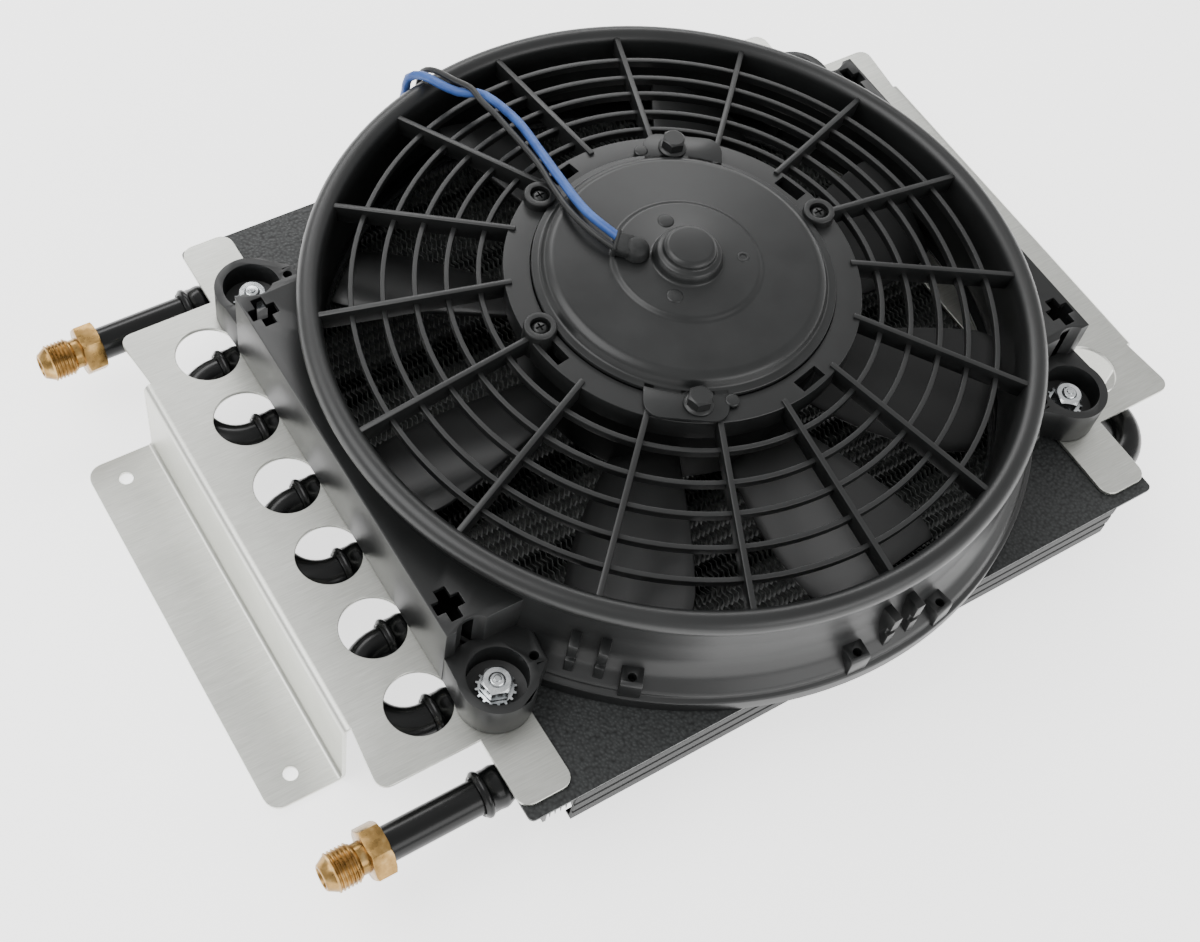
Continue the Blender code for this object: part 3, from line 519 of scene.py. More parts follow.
def choose(obj, kind, test):
    """In edit mode, select the FACEs, EDGEs or VERTs whose middle passes a test."""
    bpy.ops.mesh.select_mode(type=kind)
    bpy.ops.mesh.select_all(action="DESELECT")
    shape = bmesh.from_edit_mesh(obj.data)
    for part in {"FACE": shape.faces, "EDGE": shape.edges, "VERT": shape.verts}[kind]:
        corners = [part] if kind == "VERT" else part.verts
        middle = sum((v.co for v in corners), Vector()) / len(corners)
        if test(middle / MM):
            part.select_set(True)
    bmesh.update_edit_mesh(obj.data)


def apply(obj, kind, **settings):
    """Add a modifier, set it and apply it at once."""
    only(obj)
    step = obj.modifiers.new(kind.title(), kind)
    for key, value in settings.items():
        setattr(step, key, value)
    bpy.ops.object.modifier_apply(modifier=step.name)
    return obj


def ease_edges(obj, width_mm, segments=2, angle=35):
    """Round every sharp edge, as a mould or a deburring tool leaves it."""
    return apply(obj, "BEVEL", width=width_mm * MM, segments=segments, limit_method="ANGLE",
                 angle_limit=math.radians(angle), use_clamp_overlap=True)


def join(name, pieces):
    bpy.ops.object.select_all(action="DESELECT")
    for piece in pieces:
        piece.select_set(True)
    bpy.context.view_layer.objects.active = pieces[0]
    if len(pieces) > 1:
        bpy.ops.object.join()
    pieces[0].name = name
    return pieces[0]


def cut(obj, cutters, crossing=False):
    """Cut away what the cutters cover; crossing is for cutters that run through each other."""
    cutter = join("cutter", cutters)
    apply(obj, "BOOLEAN", operation="DIFFERENCE", solver="EXACT", object=cutter, use_self=crossing)
    bpy.data.objects.remove(cutter, do_unlink=True)
    return obj


def copy(obj, name, move=(0, 0, 0), turn=0.0):
    """A copy with its own mesh, turned about Z and moved by millimetres."""
    only(obj)
    bpy.ops.object.duplicate(linked=False)
    made = bpy.context.object
    made.name = name
    made.matrix_world = Matrix.Translation(Vector(move) * MM) @ Matrix.Rotation(turn, 4, "Z")
    return settle(made)


def finish(obj, finish_material, body="cooler", nodes=(), slot=None, angle=32):
    """Shade, paint and fix a piece to its body, in place of the CAD nodes that it stands for."""
    only(obj)
    bpy.ops.object.shade_smooth_by_angle(angle=math.radians(angle))
    obj.data.materials.clear()
    obj.data.materials.append(finish_material)
    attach(obj, body)
    if nodes:
        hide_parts(*nodes)
    print(obj.name, len(obj.data.polygons), "faces")
    return obj


def block(name, low, high):
    """A cube between two corners, in millimetres."""
    low, high = Vector(low) * MM, Vector(high) * MM
    return start(name, bpy.ops.mesh.primitive_cube_add, size=1, location=(low + high) / 2,
                 size_xyz=high - low)


def stretch(x=0, y=0, z=0):
    """In edit mode, extrude what is selected by millimetres."""
    bpy.ops.mesh.extrude_region_move(TRANSFORM_OT_translate={"value": (x * MM, y * MM, z * MM)})


def shift(x=0, y=0, z=0):
    """In edit mode, move what is selected by millimetres."""
    bpy.ops.transform.translate(value=(x * MM, y * MM, z * MM))


def spin_on(obj, degrees, centre=(0, 0)):
    """Turn a piece about Z, then carry it to a centre given in millimetres."""
    obj.rotation_euler.z = math.radians(degrees)
    obj.location = Vector((*centre, 0)) * MM
    return settle(obj)


def face_outward():
    """In edit mode, select all and turn every face outward."""
    bpy.ops.mesh.select_all(action="SELECT")
    bpy.ops.mesh.normals_make_consistent(inside=False)


def rod(name, centre, radius, z_range, steps=48, axis="Z"):
    """A capped cylinder along Z, or along X with centre then (y, z); millimetres."""
    low, high = z_range
    place = (*centre, (low + high) / 2) if axis == "Z" else ((low + high) / 2, *centre)
    turn = (0, 0, 0) if axis == "Z" else (0, math.pi / 2, 0)
    return start(name, bpy.ops.mesh.primitive_cylinder_add, vertices=steps, radius=radius * MM,
                 depth=(high - low) * MM, location=Vector(place) * MM, rotation=turn)


def polar(radius, degrees):
    return radius * math.cos(math.radians(degrees)), radius * math.sin(math.radians(degrees))


# %% [markdown]
# ## Turning
#
# Round pieces are drawn as half a section and spun, like clay on a wheel.  One point is pulled along
# the section by extruding, then the line is spun about the axis and the seam is merged.  Corners of
# the section are rounded first, because nothing moulded or pressed has a true corner.

# %% Section and lathe
def arc(centre, radius, first, last, steps):
    angles = [math.radians(first + (last - first) * i / steps) for i in range(steps + 1)]
    return [(centre[0] + radius * math.cos(a), centre[1] + radius * math.sin(a)) for a in angles]


def soften(points, radius, steps=3):
    """Round the inner corners of a section; a corner's radius never passes a third of its sides."""
    result = [points[0]]
    for before, here, after in zip(points, points[1:], points[2:]):
        here = Vector(here)
        back, ahead = Vector(before) - here, Vector(after) - here
        reach = min(radius, back.length / 3, ahead.length / 3)
        first, last = here + back.normalized() * reach, here + ahead.normalized() * reach
        for k in range(steps + 1):
            t = k / steps
            result.append(tuple(first * (1 - t) ** 2 + here * (2 * t * (1 - t)) + last * t ** 2))
    return result + [points[-1]]


def turned(name, section, steps=96, centre=(0, 0)):
    """Spin a section of (radius, height) millimetres about a vertical axis."""
    made = start(name, bpy.ops.mesh.primitive_plane_add, size=MM)
    edit(made)
    bpy.ops.mesh.select_mode(type="VERT")
    bpy.ops.mesh.select_all(action="SELECT")
    bpy.ops.mesh.merge(type="CENTER")
    shift(section[0][0], 0, section[0][1])
    for (r0, z0), (r1, z1) in zip(section, section[1:]):
        stretch(r1 - r0, 0, z1 - z0)
    bpy.ops.mesh.select_all(action="SELECT")
    bpy.ops.mesh.remove_doubles(threshold=0.002 * MM)
    bpy.ops.mesh.spin(steps=steps, angle=TAU, center=(0, 0, 0), axis=(0, 0, 1))
    bpy.ops.mesh.select_all(action="SELECT")
    bpy.ops.mesh.remove_doubles(threshold=0.002 * MM)
    bpy.ops.mesh.normals_make_consistent(inside=False)
    done()
    made.location = (centre[0] * MM, centre[1] * MM, 0)
    return settle(made)


def laid_along_x(obj, tip_x, y, z):
    """Lay a turned piece down so that its +Z points to -X, with its zero at tip_x."""
    obj.rotation_euler = (0, -math.pi / 2, 0)
    obj.location = Vector((tip_x, y, z)) * MM
    return settle(obj)


# %% [markdown]
# ## Folded brackets
#
# Each bracket is one strip of aluminium: a top leg under the fan's feet, a web and a foot flange to
# bolt down.  A flat plane is cut across where the outline steps, its edges are extruded for the tabs,
# and the folds are made by spinning an edge about each bend's centre, as a press brake does.
# Solidify gives the sheet its thickness, and a Boolean punches the holes last, as a press would.

# %% Fold one bracket
SHEET = 1.6
BRACKET_TOP = 39.8
LEG_X = (119.7, 140.3, 178.5)
TAB_Y, LEG_Y, WEB_Y = 131.6, 103.3, 79.0
BEND = 2.4
FOOT_X = 206.6
HOLE_X, HOLE_PITCH, HOLE_RADIUS = 151.8, 32.7, 12.0
MOUNT = (128.1, 91.7)
FOOT_HOLE = (194.2, 68.9)
CLEARANCE, FOOT_HOLE_RADIUS = 3.3, 2.75


def bracket_sheet():
    """The middle surface of the right-hand bracket."""
    inner, step, outer = LEG_X
    middle = BRACKET_TOP - SHEET / 2
    sheet = start("bracket", bpy.ops.mesh.primitive_plane_add, size=1,
                  location=((inner + outer) / 2 * MM, 0, middle * MM),
                  size_xyz=((outer - inner) * MM, 2 * LEG_Y * MM, 1))
    edit(sheet)
    for place, normal in (((step, 0), (1, 0)), ((0, WEB_Y), (0, 1)), ((0, -WEB_Y), (0, 1))):
        bpy.ops.mesh.select_all(action="SELECT")
        bpy.ops.mesh.bisect(plane_co=Vector((*place, 0)) * MM, plane_no=(*normal, 0))
    for side in (-1, 1):
        choose(sheet, "EDGE", lambda m: abs(m.y - side * LEG_Y) < 0.1 and m.x < step)
        stretch(0, side * (TAB_Y - LEG_Y), 0)
    choose(sheet, "EDGE", lambda m: abs(m.x - outer) < 0.1 and abs(m.y) < WEB_Y)
    web_x = 179.2 - SHEET / 2 - BEND
    shift(web_x - outer)
    top_centre = (web_x * MM, 0, (middle - BEND) * MM)
    bpy.ops.mesh.spin(steps=6, angle=-math.pi / 2, center=top_centre, axis=(0, 1, 0))
    stretch(0, 0, 2 * BEND + SHEET / 2 - middle)
    foot_centre = ((web_x + 2 * BEND) * MM, 0, (SHEET / 2 + BEND) * MM)
    bpy.ops.mesh.spin(steps=6, angle=math.pi / 2, center=foot_centre, axis=(0, 1, 0))
    stretch(FOOT_X - web_x - 2 * BEND)
    return sheet


def round_sheet_corners(sheet):
    """Round the outline's corners in the flat, tab and flange ends by 5 mm, foot by 6 mm."""
    inner, step, outer = LEG_X
    for corner_test, width in ((lambda m: abs(m.y) > TAB_Y - 1, 5.0),
                               (lambda m: m.x > FOOT_X - 1, 6.0),
                               (lambda m: abs(m.x - outer) < 1 and abs(abs(m.y) - LEG_Y) < 1, 5.0)):
        choose(sheet, "VERT", corner_test)
        bpy.ops.mesh.bevel(offset=width * MM, segments=5, affect="VERTICES")
    done()


bracket_right = bracket_sheet()
round_sheet_corners(bracket_right)
print("bracket sheet:", len(bracket_right.data.polygons), "faces")

# %% Thicken, punch and copy the bracket
apply(bracket_right, "SOLIDIFY", thickness=SHEET * MM, offset=0, use_even_offset=True)
punches = [rod("punch", (HOLE_X, (i - 2.5) * HOLE_PITCH), HOLE_RADIUS, (30, 45), 72) for i in range(6)]
for end in (-1, 1):
    punches.append(rod("punch", (MOUNT[0], end * MOUNT[1]), CLEARANCE, (30, 45), 32))
    punches.append(rod("punch", (FOOT_HOLE[0], end * FOOT_HOLE[1]), FOOT_HOLE_RADIUS, (-2, 5), 40))
cut(bracket_right, punches)
ease_edges(bracket_right, 0.18, 1, 50)
bracket_left = copy(bracket_right, "bracket_left_folded", turn=math.pi)
bracket_right.name = "bracket_right_folded"
finish(bracket_right, aluminium, nodes=("mounting_bracket_right",), slot="aluminium")
finish(bracket_left, aluminium, nodes=("mounting_bracket_left",), slot="aluminium")

# %% [markdown]
# ## Tubes
#
# The oil runs through half-inch steel tube in eight passes.  The mouths are swaged wider on the left
# so that the return bends slip in, with a rolled bead behind each mouth, and the joints are brazed.
# A tube is a ring of points that is pulled along, widened where it is swaged, and spun round a bend.

# %% Draw a tube
TUBE_Z, TUBE_PITCH, TUBE_R = 27.7, 32.7, 6.35
CORE_Y = -2.0
MOUTH_X = -148.5
WALL = 0.9


def ring_along_x(name, x, y, radius):
    return start(name, bpy.ops.mesh.primitive_circle_add, vertices=32, radius=radius * MM,
                 location=Vector((x, y, TUBE_Z)) * MM, rotation=(0, math.pi / 2, 0))


def pull(distance, scale, centre):
    """Pull the open ring on by a distance along X and change its radius about its own middle."""
    stretch(distance)
    bpy.ops.transform.resize(value=(1, scale, scale), center_override=Vector((0, centre, TUBE_Z)) * MM)


SWAGE = ((0.5, 7.7), (0.9, 8.15), (1.3, 8.5), (1.9, 8.6), (2.5, 8.45), (2.9, 8.1), (3.3, 7.75), (6.0, 7.62),
         (7.4, 7.85), (8.3, 7.9), (9.2, 7.7), (10.6, 7.1), (12.0, 6.5), (13.0, 6.35))


MOUTH_RADIUS, SWAGE_LENGTH, LEG_END_X = 7.4, 13.0, 140.6


def hairpin(name, y):
    """Two legs and the bend between them, drawn from one swaged mouth round to the other."""
    tube = ring_along_x(name, MOUTH_X, y, MOUTH_RADIUS)
    edit(tube)
    bpy.ops.mesh.select_all(action="SELECT")
    at, radius = 0.0, MOUTH_RADIUS
    for place, wanted in SWAGE:
        pull(place - at, wanted / radius, y)
        at, radius = place, wanted
    pull(LEG_END_X - MOUTH_X - at, 1.0, y)
    centre = Vector((LEG_END_X, y - TUBE_PITCH / 2, TUBE_Z)) * MM
    bpy.ops.mesh.spin(steps=20, angle=math.pi, center=centre, axis=(0, 0, 1))
    pull(MOUTH_X + SWAGE_LENGTH - LEG_END_X, 1.0, y - TUBE_PITCH)
    at, radius = SWAGE_LENGTH, TUBE_R
    for place, wanted in reversed(SWAGE[:-1]):
        pull(place - at, wanted / radius, y - TUBE_PITCH)
        at, radius = place, wanted
    pull(-at, MOUTH_RADIUS / radius, y - TUBE_PITCH)
    face_outward()
    done()
    return apply(tube, "SOLIDIFY", thickness=WALL * MM, offset=-1)


def tube_y(index):
    return (3.5 - index) * TUBE_PITCH + CORE_Y


first_hairpin = hairpin("hairpin_pass_1", tube_y(0))
hairpins = [first_hairpin] + [copy(first_hairpin, f"hairpin_pass_{n + 1}", (0, -2 * n * TUBE_PITCH, 0))
                              for n in (1, 2, 3)]
for number, tube in enumerate(hairpins, 1):
    finish(tube, tube_coat, nodes=(f"hairpin_tube_{number}",), slot="black_paint", angle=50)


# %% [markdown]
# ## Return bends and port stubs
#
# The return bends are short U pieces of the same tube, drawn to a tight radius and pushed into the
# swaged mouths.  The two outermost mouths take straight stubs that carry the fittings.

# %% Bend and place them
def plain_run(name, x, y, length, bend):
    tube = ring_along_x(name, x, y, TUBE_R)
    edit(tube)
    bpy.ops.mesh.select_all(action="SELECT")
    pull(length, 1.0, y)
    if bend:
        centre = Vector((x + length, y - TUBE_PITCH / 2, TUBE_Z)) * MM
        bpy.ops.mesh.spin(steps=20, angle=-math.pi, center=centre, axis=(0, 0, 1))
        pull(-length, 1.0, y - TUBE_PITCH)
    face_outward()
    done()
    return apply(tube, "SOLIDIFY", thickness=WALL * MM, offset=-1)


first_bend = plain_run("return_bend_tube_1", -139.6, tube_y(1), -9.9, True)
bends = [first_bend] + [copy(first_bend, f"return_bend_tube_{n + 1}", (0, -2 * n * TUBE_PITCH, 0))
                        for n in (1, 2)]
for number, tube in enumerate(bends, 1):
    finish(tube, tube_coat, nodes=(f"return_bend_{number}",), slot="black_paint", angle=50)
for label, index in (("far", 0), ("near", 7)):
    stub = plain_run(f"port_stub_tube_{label}", -139.6, tube_y(index), -49.0, False)
    finish(stub, tube_coat, nodes=(f"port_stub_{label}",), slot="black_paint", angle=50)

# %% [markdown]
# ## Flare fittings
#
# The ports are brass 9/16-18 flare fittings.  The body is turned: a 37 degree nose, a thread, a
# relief groove and a collar, with a hexagon for the wrench.  The thread is drawn as turned ridges at
# the real pitch of 1.41 mm, because a helix this fine looks the same.  The hexagon is a six-sided
# cylinder whose corners are turned away by keeping what it shares with a chamfered disc.

# %% Turn the fittings
THREAD_PITCH = 25.4 / 18


ROOT_RADIUS, CREST_RADIUS, CREST_COUNT = 6.45, 7.15, 6
ACROSS_FLATS, HEX_X = 17.46, (-191, -183.3)
NOSE = [(6.3, 21.6), (5.9, 22.2), (4.75, 24.2), (4.3, 24.5), (3.75, 24.5), (3.6, 24.1),
        (3.75, 5.5), (6.9, 5.5)]
COLLAR = [(6.9, 7.2), (5.8, 7.6), (5.7, 11.6), (6.4, 12.5)]
GAUGE = [(0, 0), (9.0, 0), (10.3, 0.7), (10.3, 7.0), (9.0, 7.7), (0, 7.7)]


def fitting(label, y):
    thread = []
    for k in range(CREST_COUNT):
        crest = 12.9 + k * THREAD_PITCH
        thread += [(ROOT_RADIUS, crest), (CREST_RADIUS, crest + 0.5), (CREST_RADIUS, crest + 0.75),
                   (ROOT_RADIUS, crest + 1.2)]
    spindle = turned("spindle", COLLAR + thread + NOSE + COLLAR[:1], 64)
    laid_along_x(spindle, -182.1, y, TUBE_Z)
    hexagon = rod("hexagon", (y, TUBE_Z), ACROSS_FLATS / math.cos(math.pi / 6) / 2, HEX_X, 6, "X")
    gauge = laid_along_x(turned("gauge", GAUGE, 64), HEX_X[1], y, TUBE_Z)
    apply(hexagon, "BOOLEAN", operation="INTERSECT", solver="EXACT", object=gauge)
    bpy.data.objects.remove(gauge, do_unlink=True)
    cut(hexagon, [rod("bore", (y, TUBE_Z), TUBE_R + 0.15, (-189, -180), 48, "X")])
    ease_edges(hexagon, 0.45, 2, 40)
    made = join(f"brass_flare_{label}", [hexagon, spindle])
    return finish(made, brass, nodes=(f"flare_fitting_{label}",), slot="brass", angle=35)


for port_label, port_index in (("far", 0), ("near", 7)):
    fitting(port_label, tube_y(port_index))

# %% [markdown]
# ## Fins
#
# A fin is a strip of foil with its length folded into a zigzag, so that air has to turn as it passes.
# One strip is a row of narrow quads with every other edge pushed aside; an Array stacks it along the
# tubes at 2.2 mm, and Solidify gives the foil an edge to catch the light.

# %% Fold and stack the fins
fin_low, fin_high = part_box("fin_pack")
FOLD, FOLD_DEPTH = 2.4, 1.1
FIN_PITCH, FIN_THICKNESS = 2.2, 0.22
fold_count = round((fin_high.y - fin_low.y) / (FOLD * MM))
fin_height = fin_high.z - fin_low.z
fin_middle = (fin_low + fin_high) / 2
fins = start("fin_stack", bpy.ops.mesh.primitive_grid_add, x_subdivisions=1, y_subdivisions=fold_count,
             size=1, location=(fin_low.x + 1.0 * MM, fin_middle.y, fin_middle.z),
             rotation=(0, math.pi / 2, 0), size_xyz=(fin_height, fin_high.y - fin_low.y - 0.4 * MM, 1))
edit(fins)
fold_length = (fin_high.y - fin_low.y) / fold_count
choose(fins, "VERT", lambda m: round((m.y * MM - fin_low.y) / fold_length) % 2 == 1)
shift(FOLD_DEPTH)
done()
fin_total = int((fin_high.x - fin_low.x - 2.4 * MM) / (FIN_PITCH * MM)) + 1
apply(fins, "ARRAY", count=fin_total, use_relative_offset=False, use_constant_offset=True,
      constant_offset_displace=(FIN_PITCH * MM, 0, 0))
apply(fins, "SOLIDIFY", thickness=FIN_THICKNESS * MM, offset=0)
finish(fins, fin_metal, nodes=("fin_pack",), slot="fin_black", angle=10)
print(fin_total, "fins of", fold_count, "folds")


# %% [markdown]
# ## Fan shroud
#
# The shroud is one moulding.  A drum with a rolled lip guides the air; below a recessed neck its wall
# flares to a skirt that seals on the face plate.  Two hollow side blocks stiffen it, and a foot at
# each corner takes a stud.  The drum is spun from one closed section, then trimmed where the brackets
# pass under it.

# %% Spin and trim the drum
DRUM_BASE, SEAT, DECK, BLOCK_X, BLOCK_Y = 38.2, 40.1, 72.3, 141.0, 78.0
LIP_CENTRE, LIP_BEAD = (134.7, 80.5), 4.3


def drum():
    lip = arc(LIP_CENTRE, LIP_BEAD, 175, -45, 14)
    outside = soften([lip[-1], (136.3, 75.6), (136.2, 66), (137.2, 56), (139.8, 49.6), (143.6, 46.4),
                      (144.4, 45.2), (144.6, 44.2), (146.5, 43.4), (146.5, DRUM_BASE)], 2.0)
    inside = [(131.6, DRUM_BASE), (131.6, 41), (143.0, 41), (143.0, 43.4), (137.6, 47.6), (134.4, 60),
              (133.9, 75), (131.2, 76), (131.2, 52.6), (130.6, 52), (129.6, 52), (129, 52.6),
              (129.2, 66), (130.2, 78)]
    shell = turned("drum", lip + outside[1:] + inside + [lip[0]], 160)
    trims = []
    for side in (-1, 1):
        near, far = sorted((side * 119.4, side * 200))
        trims.append(block("trim", (near, -200, 20), (far, 200, SEAT + 0.2)))
        near, far = sorted((side * (BLOCK_X - 0.1), side * 200))
        trims.append(block("trim", (near, -200, 19), (far, 200, DECK)))
    return cut(shell, trims, crossing=True)


shroud_parts = [drum()]
print("drum:", len(shroud_parts[0].data.polygons), "faces")

# %% [markdown]
# ## Side blocks
#
# Each block is an open box under a flat deck.  Near its ends the deck has a cross-shaped socket for a
# clip, and the end wall is scooped to clear the wrench on the nut.  A cube is
# hollowed and bored with Booleans, which keeps the wall's real thickness where light falls through
# the sockets.

# %% Mould a side block
BLOCK_INNER_X, BLOCK_WALL, BLOCK_BORE, ROOM_BORE = 96, 2.4, 135.2, 138
SOCKET_PLACE, SCOOP_PLACE, SCOOP_RADIUS = (134.6, 67.6), (131.5, 82.5), 7.2
THROUGH = (-20, 120)


def side_block(side):
    low, high = sorted((side * BLOCK_INNER_X, side * BLOCK_X))
    body = block("side_block", (low, -BLOCK_Y, SEAT), (high, BLOCK_Y, DECK))
    low, high = sorted((side * (BLOCK_INNER_X - 6), side * (BLOCK_X - BLOCK_WALL)))
    room = block("room", (low, BLOCK_WALL - BLOCK_Y, 0), (high, BLOCK_Y - BLOCK_WALL, DECK - BLOCK_WALL))
    cut(room, [rod("core", (0, 0), ROOM_BORE, THROUGH, 128)])
    cut(body, [room])
    cut(body, [rod("bore", (0, 0), BLOCK_BORE, THROUGH, 128)])
    for end in (-1, 1):
        x, y = side * SOCKET_PLACE[0], end * SOCKET_PLACE[1]
        cut(body, [block("slot", (x - 2.2, y - 6.4, 56), (x + 2.2, y + 6.4, 90)),
                   block("slot", (x - 5.2, y - 2.4, 56), (x + 5.2, y + 2.4, 90))], crossing=True)
        scoop = (side * SCOOP_PLACE[0], end * SCOOP_PLACE[1])
        cut(body, [rod("scoop", scoop, SCOOP_RADIUS, (50, 90), 40)])
    return ease_edges(body, 0.5, 2, 40)


shroud_parts += [side_block(-1), side_block(1)]

# %% [markdown]
# ## Feet
#
# A foot is a round cup around the stud, on a flat web that runs back to the block, with a small pin
# hole toward the drum.  The cup is a cylinder; the web and the shoulder beyond it are cubes whose
# corners are moved in edit mode.  All are bored together.

# %% Mould a foot
CUP_RADIUS, CUP_TOP, RECESS, RECESS_FLOOR = 14.0, 55.8, 10.8, 45.8
WEB = {(-1, -1): (108.6, 76.0), (1, -1): (140.7, 76.0), (-1, 1): (110.4, 94.6), (1, 1): (141.4, 88.2)}
SHOULDER = {(-1, -1): (110.4, 94.4), (1, -1): (136.0, 94.4), (-1, 1): (123.2, 104.8), (1, 1): (129.0, 105.6)}


def four_sided(name, corners, side, end):
    """A cube whose four upright edges are moved to the given corners, mirrored to one end of the shroud."""
    made = block(name, (-1, -1, SEAT + 0.1), (1, 1, CUP_TOP))
    edit(made)
    for (cx, cy), (tx, ty) in corners.items():
        choose(made, "VERT", lambda m: abs(m.x - cx) < 0.1 and abs(m.y - cy) < 0.1)
        shift(tx - cx, ty - cy)
    done()
    made.scale = (side, end, 1)
    settle(made)
    edit(made)
    face_outward()
    done()
    return made


def foot(side, end):
    x, y = side * MOUNT[0], end * MOUNT[1]
    cup = rod("cup", (x, y), CUP_RADIUS, (SEAT + 0.1, CUP_TOP), 72)
    for name, corners in (("web", WEB), ("shoulder", SHOULDER)):
        piece = four_sided(name, corners, side, end)
        apply(cup, "BOOLEAN", operation="UNION", solver="EXACT", object=piece)
        bpy.data.objects.remove(piece, do_unlink=True)
    cut(cup, [rod("recess", (x, y), RECESS, (RECESS_FLOOR, 90), 64)])
    pin_hole = rod("pin_hole", (side * 113.6, end * 91.0), 1.75, (48, 90), 24)
    cut(cup, [rod("hole", (x, y), CLEARANCE, (0, 90), 32), pin_hole])
    return ease_edges(cup, 0.5, 2, 40)


shroud_parts += [foot(side, end) for side in (-1, 1) for end in (-1, 1)]

# %% [markdown]
# ## Clips and lugs
#
# Six U-shaped clips and three drilled lugs stand on the skirt, to hold a cable or a guard.  A clip is
# a cube with the gap between its posts, a cable groove and a relief under the web cut out.  A lug is
# a small block with one rounded edge and a hole.

# %% Mould the clips and lugs
def clip(angle):
    """Two posts on a low web, with a shallow groove for the cable in each post's outer face."""
    body = block("clip", (135.8, -7.0, 43.4), (142.6, 7.0, 64.8))
    cut(body, [block("gap", (130, -3.4, 50.5), (150, 3.4, 70)),
               block("groove", (141.0, -10, 54.4), (150, 10, 57.6)),
               block("relief", (139.6, -3.4, 40), (150, 3.4, 52))], crossing=True)
    return spin_on(ease_edges(body, 0.4, 2, 40), angle)


def lug(angle):
    body = block("lug", (136.5, -3.9, 42.4), (145.8, 3.9, 52.6))
    edit(body)
    choose(body, "EDGE", lambda m: m.x > 145 and m.z > 52)
    bpy.ops.mesh.bevel(offset=1.6 * MM, segments=3, affect="EDGES")
    done()
    cut(body, [rod("hole", (142.4, 0), 1.5, (45, 60), 24)])
    return spin_on(ease_edges(body, 0.4, 2, 40), angle)


shroud_parts += [clip(angle) for angle in (-134.5, -87.5, -45.5, 45.5, 92.5, 134.5)]
shroud_parts += [lug(angle) for angle in (-127.8, -95.2, -79.8)]
finish(join("fan_shroud_moulding", shroud_parts), nylon, nodes=("fan_shroud",), slot="black_plastic")

# %% [markdown]
# ## Grille
#
# Sixteen thin ribs climb from the lip to a hub ring that holds the motor.  Five light rings run under
# the ribs and keep fingers out.  One rib is shaped and copied round; each ring is turned with a
# rounded section, since it is moulded with a draft.

# %% Shape a rib, the rings and the hub
RIB_OUTER, RIB_INNER = (134.6, 82.6), (63.0, 96.35)
RIB_COUNT, RIB_THICKNESS, RIB_DEPTH = 16, 2.3, 8.6
RING_RADII = (74, 85.4, 96.8, 108.2, 119.6)
RING_DROPS = (3.0, 3.5, 2.8, 3.4, 2.9)


def rib_height(radius):
    (outer_r, outer_z), (inner_r, inner_z) = RIB_OUTER, RIB_INNER
    return outer_z + (inner_z - outer_z) * (outer_r - radius) / (outer_r - inner_r)


def rib():
    (outer_r, outer_z), (inner_r, inner_z) = RIB_OUTER, RIB_INNER
    body = block("rib", (inner_r, -RIB_THICKNESS / 2, -RIB_DEPTH), (outer_r, RIB_THICKNESS / 2, 0))
    edit(body)
    choose(body, "FACE", lambda m: m.x > outer_r - 1)
    shift(0, 0, outer_z)
    choose(body, "FACE", lambda m: m.x < inner_r + 1)
    shift(0, 0, inner_z)
    choose(body, "FACE", lambda m: m.z < 86 and abs(m.x - (outer_r + inner_r) / 2) < 1 and abs(m.y) < 0.1)
    bpy.ops.transform.resize(value=(1, 0.62, 1))
    done()
    return ease_edges(body, 0.5, 2, 30)


def ring_section(radius, drop):
    top = rib_height(radius) - drop
    return soften([(radius - 1.0, top - 0.2), (radius - 0.8, top + 0.15), (radius + 0.8, top + 0.15),
                   (radius + 1.0, top - 0.2), (radius + 0.7, top - 3.6), (radius - 0.7, top - 3.6),
                   (radius - 1.0, top - 0.2)], 0.35)


first_rib = rib()
grille_parts = [first_rib] + [copy(first_rib, f"rib_{n}", turn=TAU * n / RIB_COUNT)
                              for n in range(1, RIB_COUNT)]
grille_parts += [turned("grille_ring", ring_section(r, d), 128) for r, d in zip(RING_RADII, RING_DROPS)]
hub_section = [(56, 95.2), (65.6, 95.2), (65.6, 85.8), (64.2, 85.8), (64.0, 92.6), (58.4, 92.6),
               (58.2, 88), (56, 88), (56, 95.2)]
hub_ring = turned("hub_ring", soften(hub_section, 0.5), 128)
gaps = []
for angle in (15, 104, 188, 283):
    gaps.append(spin_on(block("gap", (58.6, -5.6, 80), (63.8, 5.6, 99)), angle))
cut(hub_ring, gaps)
grille_parts.append(hub_ring)
print("hub ring:", len(hub_ring.data.polygons), "faces")

# %% [markdown]
# ## Screw bosses on the hub ring
#
# Three round bosses stand out from the hub ring, each with a deep counterbore for a screw.

# %% Turn the bosses and join the grille
SCREW_CIRCLE, SCREW_ANGLES = 60.5, (0, 119, 179)
boss_section = soften([(2.0, 94.0), (3.5, 94.0), (3.6, 98.6), (5.7, 98.6), (6.0, 97.8), (6.1, 86), (2.0, 86),
                       (2.0, 94.0)], 0.4)
for angle in SCREW_ANGLES:
    grille_parts.append(turned("screw_boss", boss_section, 48, polar(SCREW_CIRCLE, angle)))
finish(join("fan_grille_moulding", grille_parts), nylon, nodes=("fan_grille",), slot="black_plastic")

# %% [markdown]
# ## Motor cover
#
# The motor's end is a steel stamping: a flat rim, a rounded step up to a broad disc, a second low
# step, and a bearing boss in the middle.  Two lobes reach out to the bolts, and two rivets and an
# eyelet hold the brush plate inside.  The body is turned with rounded corners, since a press leaves
# radii of about the sheet's thickness.

